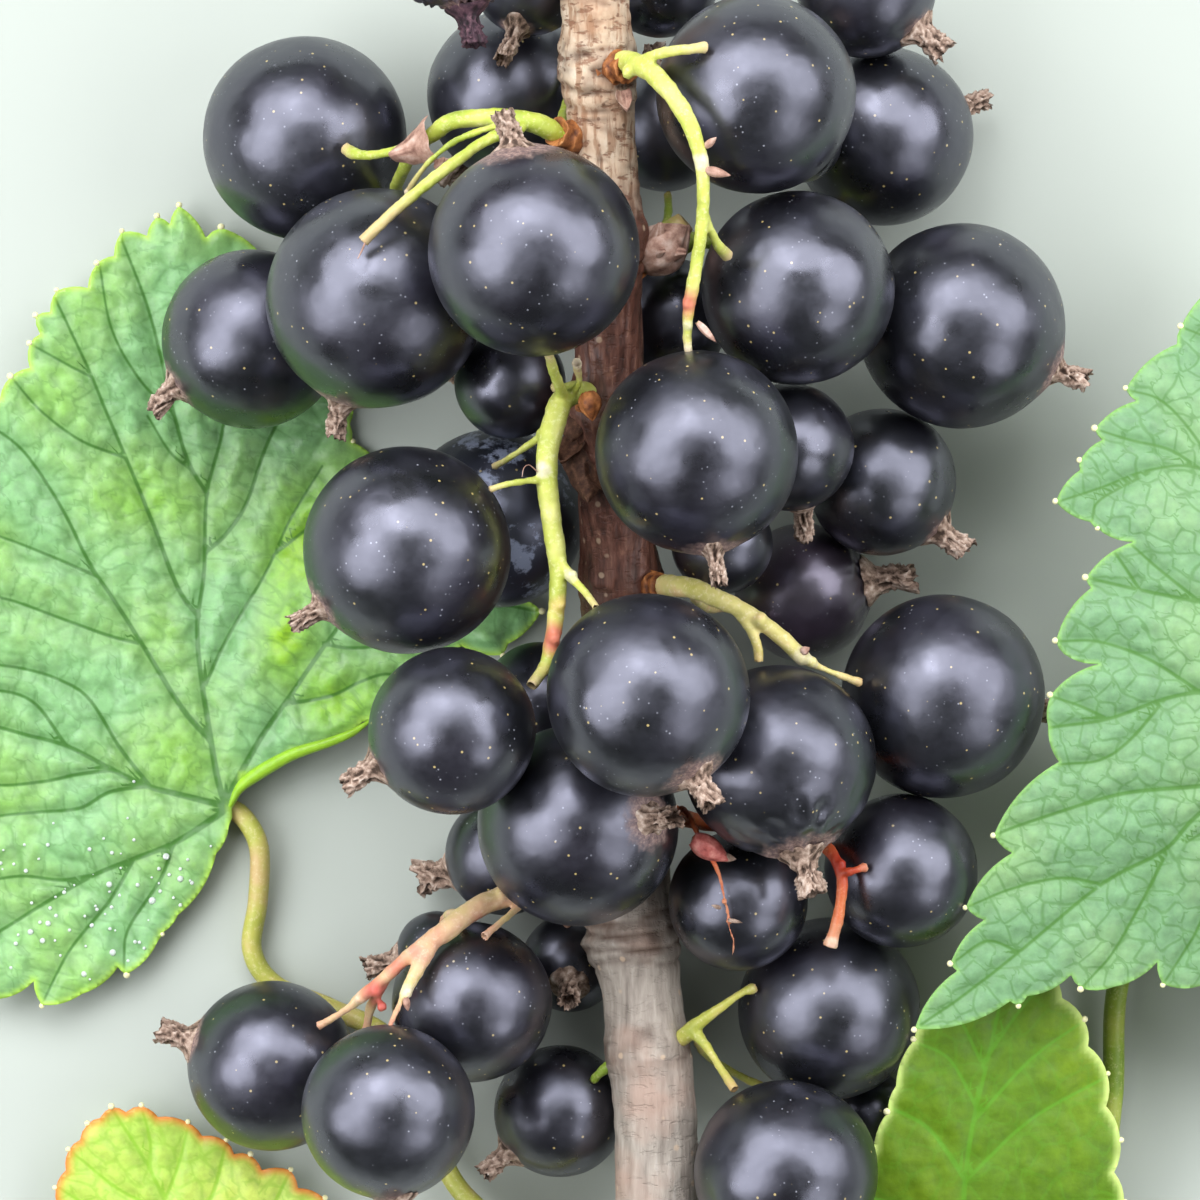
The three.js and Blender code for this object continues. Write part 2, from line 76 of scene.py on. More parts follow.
def addObject(name, data):
    thing = bpy.data.objects.new(name, data)
    bpy.context.scene.collection.objects.link(thing)
    return thing


def smoothRoute(points, step):
    # a curve through listed points, given back as evenly spaced points with the same columns
    rows = np.array(points, float)
    rows = np.vstack([2 * rows[0] - rows[1], rows, 2 * rows[-1] - rows[-2]])
    made = []
    for i in range(1, len(rows) - 2):
        a, b, c, d = rows[i - 1:i + 3]
        count = max(1, round(np.linalg.norm((c - b)[:3]) / step))
        for t in np.arange(count) / count:
            bend = (2 * a - 5 * b + 4 * c - d) * t ** 2 + (3 * b - a - 3 * c + d) * t ** 3
            made.append(b + 0.5 * ((c - a) * t + bend))
    made.append(rows[-2])
    return np.array(made)


def evaluatedMesh(data, modifiers=()):
    # the mesh of a curve or mesh once the given modifiers have run over it
    helper = addObject("helper", data)
    for kind, settings in modifiers:
        modifier = helper.modifiers.new(kind, kind)
        for name, value in settings.items():
            setattr(modifier, name, value)
    depsgraph = bpy.context.evaluated_depsgraph_get()
    mesh = bpy.data.meshes.new_from_object(helper.evaluated_get(depsgraph))
    bpy.data.objects.remove(helper)
    return mesh


def tubesAlong(routes, step, sides):
    # round tubes with rounded ends, one along each route of (x, y, z, radius)
    curve = bpy.data.curves.new("tubes", "CURVE")
    curve.dimensions = "3D"
    curve.bevel_depth = 1
    curve.bevel_resolution = sides
    curve.use_fill_caps = True
    for route in routes:
        line = smoothRoute(route, step)
        first, last = line[0].copy(), line[-1].copy()
        inward = (line[1] - line[0])[:3]
        outward = (line[-1] - line[-2])[:3]
        first[:3] -= 0.5 * line[0][3] * inward / np.linalg.norm(inward)
        last[:3] += 0.5 * line[-1][3] * outward / np.linalg.norm(outward)
        first[3] *= 0.6
        last[3] *= 0.6
        line = np.vstack([first, line, last])
        spline = curve.splines.new("POLY")
        spline.points.add(len(line) - 1)
        spline.points.foreach_set("co", np.c_[line[:, :3], np.ones(len(line))].ravel())
        spline.points.foreach_set("radius", line[:, 3])
    return curve


def treeOf(points):
    # a search tree over flat or solid points
    tree = KDTree(len(points))
    for i, point in enumerate(points):
        tree.insert((*point, 0)[:3], i)
    tree.balance()
    return tree


def keyOf(point):
    # a point as a key that stays the same after a mesh has rounded it
    return tuple(round(number, 3) for number in point)


def floatLayers(bm, names):
    return {name: bm.verts.layers.float.new(name) for name in names}


def facesOf(verts):
    return list({face for vert in verts for face in vert.link_faces})


def wrappedGrid(bm, around, along, place):
    # a grid rolled into a closed skin: place(turn, height) gives each point, both from 0 to 1
    verts = bmesh.ops.create_grid(bm, x_segments=around, y_segments=along, size=0.5)["verts"]
    for vert in verts:
        vert.co = place(vert.co.x + 0.5, vert.co.y + 0.5)
    bmesh.ops.remove_doubles(bm, verts=verts, dist=0.0005)
    faces = facesOf(vert for vert in verts if vert.is_valid)
    bmesh.ops.recalc_face_normals(bm, faces=faces)
    return faces


def turnTo(direction, roll=0.0):
    # the turn that takes +Z to a direction, after a roll about it
    return Vector(direction).to_track_quat("Z", "Y").to_matrix() @ Matrix.Rotation(roll, 3, "Z")


def meshInMetres(bm, name):
    # the millimetre bmesh as a mesh in metres
    bmesh.ops.scale(bm, vec=(metre, metre, metre), verts=bm.verts)
    mesh = bpy.data.meshes.new(name)
    bm.to_mesh(mesh)
    bm.free()
    return mesh


def finishPiece(bm, name, materials, node):
    # the millimetre bmesh becomes a piece that stands for its node of the frame
    mesh = meshInMetres(bm, name)
    mesh.shade_smooth()
    for material in materials:
        mesh.materials.append(material)
    piece = addObject(name, mesh)
    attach(piece, "root")
    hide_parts(node)


def linearColour(hexText):
    channels = [int(hexText[i:i + 2], 16) / 255 for i in (1, 3, 5)]
    return [c / 12.92 if c <= 0.04045 else ((c + 0.055) / 1.055) ** 2.4 for c in channels] + [1.0]


def newMaterial(name):
    material = bpy.data.materials.new(name)
    material.use_nodes = True
    material.node_tree.nodes.clear()
    return material


def addNode(material, kind, links=None, output=None, **settings):
    # adds a node, sets its properties, fills or links its inputs, and gives back the named output or
    # the first one in use; stops are a ramp's colours
    node = material.node_tree.nodes.new("ShaderNode" + kind)
    stops = settings.pop("stops", None)
    for name, value in settings.items():
        setattr(node, name, value)
    if stops:
        ramp = node.color_ramp.elements
        while len(ramp) < len(stops):
            ramp.new(0.5)
        for element, (place, colour) in zip(ramp, stops):
            element.position = place
            element.color = linearColour(colour)
    for key, value in (links or {}).items():
        socket = node.inputs[key]
        if isinstance(value, bpy.types.NodeSocket):
            material.node_tree.links.new(value, socket)
        elif isinstance(value, str):
            socket.default_value = linearColour(value)
        else:
            socket.default_value = value
    if output:
        return node.outputs[output]
    return next((socket for socket in node.outputs if socket.enabled), None)


# finishes

def skinMaterial(name, look):
    # ripe blackcurrant skin: thin glossy cuticle under a film of wax, so it is near black with a
    # satin reflection inside a wider hazy one, wax mottling, golden glands a tenth of a millimetre
    # wide, and dust
    m = newMaterial(name)
    place = addNode(m, "TexCoord", output="Object")
    crown = addNode(m, "Attribute", output="Fac", attribute_name="crown")
    # wax lies in patches 2 to 4 mm wide with a grain of about 0.25 mm
    patches = addNode(m, "TexNoise", {"Vector": place, "Scale": 330.0, "Detail": 4.0, "Roughness": 0.6})
    grain = addNode(m, "TexNoise", {"Vector": place, "Scale": 4200.0, "Detail": 3.0, "Roughness": 0.65})
    tint = addNode(m, "TexNoise", {"Vector": place, "Scale": 170.0})
    wax = addNode(m, "ValToRGB", {0: patches}, stops=[(0.3, "#000000"), (0.75, "#b0b0b0")])
    base = addNode(m, "ValToRGB", {0: tint},
                   stops=[(0.3, look["green"]), (0.5, look["body"]), (0.7, look["violet"])])
    bloomShare = addNode(m, "Math", {0: wax, 1: grain}, operation="MULTIPLY")
    bloomed = addNode(m, "Mix", {0: bloomShare, 6: base, 7: look["film"]}, data_type="RGBA")
    # thick blue-white wax left in ragged patches
    thick = addNode(m, "TexNoise", {"Vector": place, "Scale": 420.0, "Detail": 6.0, "Roughness": 0.7})
    thickMask = addNode(m, "MapRange", {0: thick, 1: look["waxFrom"],
                                        2: look["waxFrom"] + 0.06, 3: 0.0, 4: 0.75})
    waxed = addNode(m, "Mix", {0: thickMask, 6: bloomed, 7: look["wax"]}, data_type="RGBA")
    # glands: spots of a cell pattern 1 mm apart show where they meet the skin
    glands = addNode(m, "TexVoronoi", {"Vector": place, "Scale": 980.0})
    glandMask = addNode(m, "MapRange", {0: glands, 1: 0.06, 2: 0.09, 3: 0.9, 4: 0.0})
    glanded = addNode(m, "Mix", {0: glandMask, 6: waxed, 7: "#b9a468"}, data_type="RGBA")
    # dust 0.1 mm across lies thickest where the skin was handled least
    dust = addNode(m, "TexVoronoi", {"Vector": place, "Scale": 2300.0})
    dustDot = addNode(m, "MapRange", {0: dust, 1: 0.08, 2: 0.17, 3: 1.0, 4: 0.0})
    dustShare = addNode(m, "MapRange", {0: thick, 1: 0.5, 2: 0.64, 3: 0.0, 4: 0.7})
    dustMask = addNode(m, "Math", {0: dustDot, 1: dustShare}, operation="MULTIPLY")
    dusted = addNode(m, "Mix", {0: dustMask, 6: glanded, 7: "#b4b6c0"}, data_type="RGBA")
    # the skin dries to a ragged brown collar where the flower sat
    ragged = addNode(m, "TexNoise", {"Vector": place, "Scale": 1500.0, "Detail": 4.0, "Roughness": 0.6})
    edge = addNode(m, "Math", {0: ragged, 1: 0.55, 2: crown}, operation="MULTIPLY_ADD")
    collar = addNode(m, "MapRange", {0: edge, 1: look["collarFrom"],
                                     2: look["collarFrom"] + 0.25, 3: 0.0, 4: 0.9})
    collarTone = addNode(m, "ValToRGB", {0: grain},
                         stops=[(0.3, "#4e3832"), (0.5, "#86685a"), (0.75, "#bfa190")])
    colour = addNode(m, "Mix", {0: collar, 6: dusted, 7: collarTone}, data_type="RGBA")
    shine = addNode(m, "MapRange", {0: patches, 1: 0.35, 2: 0.65,
                                    3: look["gloss"] - 0.04, 4: look["gloss"] + 0.12})
    rough = addNode(m, "Mix", {0: collar, 2: shine, 3: 0.75}, data_type="FLOAT")
    film = addNode(m, "MapRange", {0: collar, 1: 0.0, 2: 1.0, 3: look["waxFilm"], 4: 0.0})
    fineBump = addNode(m, "Bump", {"Height": grain, "Strength": 0.3, "Distance": 0.000014})
    # the skin is slightly uneven over 1 to 3 mm, which breaks a reflection into clouds
    uneven = addNode(m, "TexNoise", {"Vector": place, "Scale": 380.0, "Roughness": 0.4})
    bump = addNode(m, "Bump", {"Height": uneven, "Strength": 0.4, "Distance": 0.0003, "Normal": fineBump})
    surface = addNode(m, "BsdfPrincipled", {
        "Base Color": colour, "Roughness": rough, "IOR": 1.68, "Specular IOR Level": 1.0,
        "Specular Tint": look["sheen"], "Coat Weight": film, "Coat Roughness": 0.5, "Coat IOR": 1.5,
        "Normal": bump, "Coat Normal": bump})
    addNode(m, "OutputMaterial", {"Surface": surface})
    return m


ripeSkin = {"green": "#0c0e0b", "body": "#0f0f11", "violet": "#151118", "film": "#23252e",
            "wax": "#4a4d60", "waxFrom": 0.7, "waxFilm": 0.07, "sheen": "#eaeaff", "gloss": 0.3,
            "collarFrom": 0.8}
skinLooks = {
    "ripe": ripeSkin,
    "browned": {**ripeSkin, "collarFrom": 0.56},
    "waxy": {"green": "#0e0e14", "body": "#12141c", "violet": "#181a26", "film": "#30364a",
             "wax": "#a9b3cc", "waxFrom": 0.55, "waxFilm": 0.6, "sheen": "#d4d8f2", "gloss": 0.32,
             "collarFrom": 0.8},
    "purple": {"green": "#120c12", "body": "#1e141e", "violet": "#2e2030", "film": "#54465a",
               "wax": "#6a5a6c", "waxFrom": 0.64, "waxFilm": 0.8, "sheen": "#d6cce4", "gloss": 0.34,
               "collarFrom": 0.8},
}
berrySkins = {key: skinMaterial("blackcurrant_skin_" + key, look) for key, look in skinLooks.items()}


def dryMaterial(name, tones, grainSize, gloss):
    # dead papery tissue: matt, fibrous and streaked from beige to dark brown, with painted shade darkening
    # its creases and the grooves of a collar
    m = newMaterial(name)
    place = addNode(m, "TexCoord", output="Object")
    toneAndCreaseShade = addNode(m, "Attribute", output="Fac", attribute_name="toneAndCreaseShade")
    fibres = addNode(m, "TexNoise", {"Vector": place, "Scale": 1.0 / (grainSize * metre), "Detail": 5.0,
                                     "Roughness": 0.65})
    # painted shade: low values, set in creases and grooves, darken the tissue
    tone = addNode(m, "Math", {0: toneAndCreaseShade, 1: 0.6, 2: fibres}, operation="MULTIPLY_ADD")
    colour = addNode(m, "ValToRGB", {0: tone}, stops=list(zip((0.25, 0.5, 0.72, 0.95), tones)))
    bump = addNode(m, "Bump", {"Height": fibres, "Strength": 0.6, "Distance": 0.00008})
    surface = addNode(m, "BsdfPrincipled", {
        "Base Color": colour, "Roughness": gloss, "IOR": 1.4, "Normal": bump})
    addNode(m, "OutputMaterial", {"Surface": surface})
    return m


dryFlowerFinish = dryMaterial("dried_flower", ("#46362c", "#8e7666", "#bca594", "#e2d6c8"), 0.35, 0.85)
budScaleFinish = dryMaterial("bud_scale", ("#58301a", "#93582e", "#bd7c46", "#dcae80"), 0.5, 0.6)
darkFlowerFinish = dryMaterial("dark_dried_flower", ("#1e1216", "#35212a", "#553a42", "#7c5f60"), 0.35, 0.7)
huskFinish = dryMaterial("old_husk", ("#2e1c14", "#563828", "#7d5a44", "#ab8a70"), 0.4, 0.7)
fruitletFinish = dryMaterial("withered_fruitlet", ("#7c3430", "#b05c54", "#cc8478", "#e2b4a6"), 0.5, 0.5)
bractFinish = dryMaterial("dry_bract", ("#6e4a3e", "#ae8876", "#cdb0a0", "#e8d8c8"), 0.7, 0.7)


def stalkMaterial(name, tones):
    # fresh herbaceous stalk: smooth waxy yellow-green, paler in fine streaks along it, flushed red
    # at the joints and tan towards the fruit
    m = newMaterial(name)
    place = addNode(m, "TexCoord", output="Object")
    read = {key: addNode(m, "Attribute", output="Fac", attribute_name=key) for key in (
        "tip", "joint", "pale", "hollow")}
    broad = addNode(m, "TexNoise", {"Vector": place, "Scale": 420.0, "Detail": 3.0})
    # cream flecks about 0.3 mm apart
    flecks = addNode(m, "TexNoise", {"Vector": place, "Scale": 3400.0, "Detail": 4.0, "Roughness": 0.7})
    green = addNode(m, "ValToRGB", {0: broad},
                    stops=[(0.3, tones["deep"]), (0.5, tones["green"]), (0.72, tones["yellow"])])
    fleckMask = addNode(m, "MapRange", {0: flecks, 1: 0.52, 2: 0.7, 3: 0.0, 4: 0.55})
    flecked = addNode(m, "Mix", {0: fleckMask, 6: green, 7: tones["fleck"]}, data_type="RGBA")
    tanEdge = addNode(m, "Math", {0: broad, 1: 0.5, 2: read["tip"]}, operation="MULTIPLY_ADD")
    tanMask = addNode(m, "MapRange", {0: tanEdge, 1: 0.85, 2: 1.25, 3: 0.0, 4: 0.85})
    tanned = addNode(m, "Mix", {0: tanMask, 6: flecked, 7: tones["tan"]}, data_type="RGBA")
    redEdge = addNode(m, "Math", {0: broad, 1: 0.5, 2: read["joint"]}, operation="MULTIPLY_ADD")
    redMask = addNode(m, "MapRange", {0: redEdge, 1: 0.6, 2: 1.15, 3: 0.0, 4: 0.9})
    reddened = addNode(m, "Mix", {0: redMask, 6: tanned, 7: tones["red"]}, data_type="RGBA")
    # corky white tissue at a knuckle, and the brown hollow of a broken end
    paleEdge = addNode(m, "Math", {0: flecks, 1: 0.5, 2: read["pale"]}, operation="MULTIPLY_ADD")
    paleMask = addNode(m, "MapRange", {0: paleEdge, 1: 0.55, 2: 1.15, 3: 0.0, 4: 0.8})
    paled = addNode(m, "Mix", {0: paleMask, 6: reddened, 7: "#e9dec6"}, data_type="RGBA")
    colour = addNode(m, "Mix", {0: read["hollow"], 6: paled, 7: "#54402c"}, data_type="RGBA")
    bump = addNode(m, "Bump", {"Height": flecks, "Strength": 0.3, "Distance": 0.00005})
    surface = addNode(m, "BsdfPrincipled", {
        "Base Color": colour, "Roughness": 0.42, "IOR": 1.42, "Subsurface Weight": 0.12,
        "Subsurface Radius": (0.0004, 0.0006, 0.0002), "Normal": bump})
    addNode(m, "OutputMaterial", {"Surface": surface})
    return m


stalkTones = {
    "green": {"deep": "#a4ae46", "green": "#c3c95c", "yellow": "#d9d780", "fleck": "#ecebb4",
              "tan": "#d2b490", "red": "#cc6a5c"},
    "lime": {"deep": "#8c9c34", "green": "#b0bc48", "yellow": "#c9cc6a", "fleck": "#dfe0a0",
             "tan": "#c8a884", "red": "#c0604e"},
    "blush": {"deep": "#d0927a", "green": "#d8b68a", "yellow": "#cdbf76", "fleck": "#efd6b4",
              "tan": "#cc9478", "red": "#cc5a52"},
    "tan": {"deep": "#bab25a", "green": "#d2c67c", "yellow": "#e4ba90", "fleck": "#f0e2be",
            "tan": "#c8a276", "red": "#b8604a"},
    "petiole": {"deep": "#98a03c", "green": "#b0ae50", "yellow": "#c4a870", "fleck": "#d8cc9c",
                "tan": "#b89468", "red": "#b07058"},
    "red": {"deep": "#a44026", "green": "#c25c34", "yellow": "#cc7a4c", "fleck": "#dca27c",
            "tan": "#c89474", "red": "#a8301e"},
    # painted shade: darker tones given to the stalks further back and to two leaf stalks
    "shade": {"deep": "#6c8a2a", "green": "#8fa63a", "yellow": "#adb850", "fleck": "#cdcb8c",
              "tan": "#a8885c", "red": "#8e4a38"},
}
stalkFinishes = {key: stalkMaterial("green_stalk_" + key, tones) for key, tones in stalkTones.items()}


def barkMaterial():
    # woody cane: cream-tan flaking bark with brown flecks near the tip, red-brown young bark in the
    # middle, smooth grey-beige bark on the old wood; a cut end shows cream wood and a brown pith
    m = newMaterial("cane_bark")
    place = addNode(m, "TexCoord", output="Object")
    age, cut, toneAndCreaseShade = (addNode(m, "Attribute", output="Fac", attribute_name=key) for key in (
        "age", "cut", "toneAndCreaseShade"))
    height = addNode(m, "SeparateXYZ", {0: place}, output="Y")
    nearTip = addNode(m, "MapRange", {0: height, 1: 0.012, 2: 0.022, 3: 0.0, 4: 1.0})
    # fibres 0.45 mm wide and eight times as long, along the cane
    stretch = addNode(m, "Mapping", {"Vector": place, "Scale": (1.0, 0.12, 1.0)})
    fibres = addNode(m, "TexNoise", {"Vector": stretch, "Scale": 2200.0, "Detail": 5.0,
                                     "Roughness": 0.6})
    blotch = addNode(m, "TexNoise", {"Vector": place, "Scale": 300.0, "Detail": 4.0, "Roughness": 0.6})
    young = addNode(m, "ValToRGB", {0: fibres},
                    stops=[(0.3, "#341c14"), (0.48, "#5e392d"), (0.62, "#7c5344"), (0.8, "#b2876c")])
    grey = addNode(m, "ValToRGB", {0: fibres},
                   stops=[(0.25, "#80756a"), (0.45, "#9d9286"), (0.6, "#ada295"), (0.8, "#c2b9ae")])
    # old bark carries tan patches 6 mm wide
    patches = addNode(m, "TexNoise", {"Vector": place, "Scale": 160.0, "Detail": 3.0, "Roughness": 0.55})
    patchMask = addNode(m, "MapRange", {0: patches, 1: 0.5, 2: 0.62, 3: 0.0, 4: 0.55})
    patched = addNode(m, "Mix", {0: patchMask, 6: grey, 7: "#b08e7c"}, data_type="RGBA")
    cream = addNode(m, "ValToRGB", {0: blotch},
                    stops=[(0.3, "#8e684e"), (0.45, "#bb9c80"), (0.58, "#d0baa0"), (0.8, "#e6dac8")])
    # brown flecks, wider than tall, with round specks between them
    squash = addNode(m, "Mapping", {"Vector": place, "Scale": (1.0, 2.4, 1.0)})
    flecks = addNode(m, "TexNoise", {"Vector": squash, "Scale": 900.0, "Detail": 4.0,
                                     "Roughness": 0.6})
    fleckMask = addNode(m, "MapRange", {0: flecks, 1: 0.55, 2: 0.62, 3: 0.0, 4: 0.75})
    strokeMask = addNode(m, "MapRange", {0: fibres, 1: 0.4, 2: 0.5, 3: 0.75, 4: 0.0})
    stroked = addNode(m, "Mix", {0: strokeMask, 6: cream, 7: "#946a4a"}, data_type="RGBA")
    specks = addNode(m, "TexVoronoi", {"Vector": place, "Scale": 1500.0})
    speckMask = addNode(m, "MapRange", {0: specks, 1: 0.12, 2: 0.2, 3: 0.7, 4: 0.0})
    flecked = addNode(m, "Mix", {0: fleckMask, 6: stroked, 7: "#7d5138"}, data_type="RGBA")
    specked = addNode(m, "Mix", {0: speckMask, 6: flecked, 7: "#6b4530"}, data_type="RGBA")
    old = addNode(m, "Mix", {0: nearTip, 6: patched, 7: specked}, data_type="RGBA")
    ageEdge = addNode(m, "Math", {0: blotch, 1: 0.7, 2: age}, operation="MULTIPLY_ADD")
    ageMask = addNode(m, "MapRange", {0: ageEdge, 1: 0.65, 2: 1.05, 3: 0.0, 4: 1.0})
    bark = addNode(m, "Mix", {0: ageMask, 6: young, 7: old}, data_type="RGBA")
    # painted shade in creases, scar grooves and fibre valleys, with the real brown of bud joints
    creaseShaded = addNode(m, "Mix", {0: toneAndCreaseShade, 6: bark, 7: "#4a3020"}, data_type="RGBA")
    # warts 0.3 mm wide and 1.4 mm apart
    warts = addNode(m, "TexVoronoi", {"Vector": place, "Scale": 700.0})
    wartMask = addNode(m, "MapRange", {0: warts, 1: 0.1, 2: 0.16, 3: 0.6, 4: 0.0})
    warty = addNode(m, "Mix", {0: wartMask, 6: creaseShaded, 7: "#cbb093"}, data_type="RGBA")
    wood = addNode(m, "ValToRGB", {0: cut},
                   stops=[(0.5, "#7c8f4a"), (0.6, "#d9cda0"), (0.86, "#d2bf8e"), (0.93, "#8a6a44")])
    isCut = addNode(m, "Math", {0: cut, 1: 0.45}, operation="GREATER_THAN")
    colour = addNode(m, "Mix", {0: isCut, 6: warty, 7: wood}, data_type="RGBA")
    lift = addNode(m, "Math", {0: fleckMask, 1: -0.5, 2: fibres}, operation="MULTIPLY_ADD")
    bump = addNode(m, "Bump", {"Height": lift, "Strength": 0.7, "Distance": 0.00015})
    rough = addNode(m, "MapRange", {0: ageMask, 1: 0.0, 2: 1.0, 3: 0.45, 4: 0.72})
    surface = addNode(m, "BsdfPrincipled", {
        "Base Color": colour, "Roughness": rough, "IOR": 1.45, "Normal": bump})
    addNode(m, "OutputMaterial", {"Surface": surface})
    return m


caneFinish = barkMaterial()


def leafMaterial(name, look):
    # fresh currant leaf: matt waxy upper face with sunken darker veins and painted shade in their valleys,
    # a fine net between them, yellow-green pads lightened by a painted highlight and a thin bright rim
    m = newMaterial(name)
    place = addNode(m, "TexCoord", output="Object")
    read = {key: addNode(m, "Attribute", output="Fac", attribute_name=key) for key in (
        "veinSide", "veinNear", "veinWide", "netSide", "netNear", "rim", "under", "warm")}
    # a line shows where the signed distance is small, and the plain distance rules out false lines
    lineMasks = {}
    for key, soft, gate in (("vein", 0.1, 0.3), ("net", look["netSoft"], 0.22)):
        off = addNode(m, "Math", {0: read[key + "Side"]}, operation="ABSOLUTE")
        half = read["veinWide"] if key == "vein" else look["netHalf"]
        beyond = addNode(m, "Math", {0: off, 1: half}, operation="SUBTRACT")
        line = addNode(m, "MapRange", {0: beyond, 1: 0.0, 2: soft, 3: 1.0, 4: 0.0})
        near = addNode(m, "MapRange", {0: read[key + "Near"], 1: gate, 2: gate + 0.1, 3: 1.0, 4: 0.0})
        lineMasks[key] = addNode(m, "Math", {0: line, 1: near}, operation="MULTIPLY")
    broad = addNode(m, "TexNoise", {"Vector": place, "Scale": 130.0, "Detail": 4.0, "Roughness": 0.55})
    fine = addNode(m, "TexNoise", {"Vector": place, "Scale": 1500.0, "Detail": 4.0, "Roughness": 0.6})
    # the smallest cells of the blade, drawn 0.5 mm wide
    cells = addNode(m, "TexVoronoi", {"Vector": place, "Scale": 2000.0})
    warmth = addNode(m, "Math", {0: broad, 1: 0.9, 2: read["warm"]}, operation="MULTIPLY_ADD")
    blade = addNode(m, "ValToRGB", {0: warmth},
                    stops=[(0.3, look["cool"]), (0.55, look["body"]), (0.85, look["warm"]),
                           (1.0, look["yellow"])])
    mottle = addNode(m, "MapRange", {0: fine, 1: 0.3, 2: 0.7, 3: 0.82, 4: 1.12})
    toned = addNode(m, "HueSaturation", {"Value": mottle, "Color": blade})
    netTone = addNode(m, "Math", {0: lineMasks["net"], 1: look["netShare"]}, operation="MULTIPLY")
    netted = addNode(m, "Mix", {0: netTone, 6: toned, 7: look["vein"]}, data_type="RGBA")
    # painted shade darkens the blade into the valley of a vein before the line itself
    valleyShade = addNode(m, "MapRange", {0: read["veinNear"], 1: 0.1, 2: 0.9, 3: look["valleyShade"], 4: 0.0},
                     interpolation_type="SMOOTHSTEP")
    shaded = addNode(m, "Mix", {0: valleyShade, 6: netted, 7: look["vein"]}, data_type="RGBA")
    veinTone = addNode(m, "Math", {0: lineMasks["vein"], 1: look["veinShare"]}, operation="MULTIPLY")
    veined = addNode(m, "Mix", {0: veinTone, 6: shaded, 7: look["vein"]}, data_type="RGBA")
    rimmed = addNode(m, "Mix", {0: read["rim"], 6: veined, 7: look["rim"]}, data_type="RGBA")
    # the underside is paler, with ribs paler still
    underTone = addNode(m, "Mix", {0: lineMasks["vein"], 6: look["under"], 7: look["underRib"]},
                        data_type="RGBA")
    colour = addNode(m, "Mix", {0: read["under"], 6: rimmed, 7: underTone}, data_type="RGBA")
    height = addNode(m, "Math", {0: cells, 1: -0.7, 2: fine}, operation="MULTIPLY_ADD")
    bump = addNode(m, "Bump", {"Height": height, "Strength": 0.4, "Distance": 0.00007})
    rough = addNode(m, "MapRange", {0: fine, 1: 0.3, 2: 0.7,
                                    3: look["gloss"] - 0.05, 4: look["gloss"] + 0.1})
    surface = addNode(m, "BsdfPrincipled", {
        "Base Color": colour, "Roughness": rough, "IOR": 1.42, "Subsurface Weight": 0.1,
        "Subsurface Radius": (0.0004, 0.0008, 0.0002), "Normal": bump})
    addNode(m, "OutputMaterial", {"Surface": surface})
    return m


leafLooks = {
    "left": {"cool": "#82b276", "body": "#88b46a", "warm": "#86b84c", "yellow": "#94c232",
             "vein": "#36681f", "veinShare": 0.82, "valleyShade": 0.26, "netShare": 0.3, "netHalf": 0.02,
             "netSoft": 0.13, "rim": "#a8d24e", "under": "#a0ba7d", "underRib": "#c4cf98",
             "gloss": 0.34},
    "right": {"cool": "#70986b", "body": "#7ca170", "warm": "#83a86d", "yellow": "#8faf67",
              "vein": "#46742c", "veinShare": 0.85, "valleyShade": 0.24, "netShare": 0.5, "netHalf": 0.025,
              "netSoft": 0.09, "rim": "#84b45c", "under": "#a9be90", "underRib": "#c7ceaa",
              "gloss": 0.5},
    "young": {"cool": "#aaca54", "body": "#bbd25c", "warm": "#ccda64", "yellow": "#dde271",
              "vein": "#87b62e", "veinShare": 0.7, "valleyShade": 0.1, "netShare": 0.4, "netHalf": 0.04,
              "netSoft": 0.09, "rim": "#d88038", "under": "#d1de8a", "underRib": "#eaecab",
              "gloss": 0.42},
    "lower_right": {"cool": "#567909", "body": "#64830a", "warm": "#789210", "yellow": "#90a11c",
                    "vein": "#58951a", "veinShare": 0.6, "valleyShade": 0.1, "netShare": 0.2, "netHalf": 0.04,
                    "netSoft": 0.09, "rim": "#c8dc7c", "under": "#acc256", "underRib": "#d0d374",
                    "gloss": 0.55},
}
leafFinishes = {key: leafMaterial("leaf_blade_" + key, look) for key, look in leafLooks.items()}


def beadMaterial(name, colour, gloss, translucent=0.0, clear=0.0):
    # pale gland tips and water beads, too small to show a pattern of their own but speckled
    m = newMaterial(name)
    place = addNode(m, "TexCoord", output="Object")
    speck = addNode(m, "TexNoise", {"Vector": place, "Scale": 5000.0})
    tone = addNode(m, "MapRange", {0: speck, 1: 0.3, 2: 0.7, 3: 0.85, 4: 1.1})
    shade = addNode(m, "HueSaturation", {"Value": tone, "Color": colour})
    surface = addNode(m, "BsdfPrincipled", {
        "Base Color": shade, "Roughness": gloss, "IOR": 1.34,
        "Subsurface Weight": translucent, "Subsurface Radius": (0.0004, 0.0004, 0.0002),
        "Transmission Weight": clear})
    addNode(m, "OutputMaterial", {"Surface": surface})
    return m


glandFinish = beadMaterial("margin_gland", "#e8e2b0", 0.3, translucent=0.3)
# water beads: clear water whose near-white colour is partly a painted glint
waterAndGlintFinish = beadMaterial("water_bead_and_glint", "#fafffa", 0.04, clear=0.45)
print("finishes mixed")


# berries, each with the dry flower at its tip

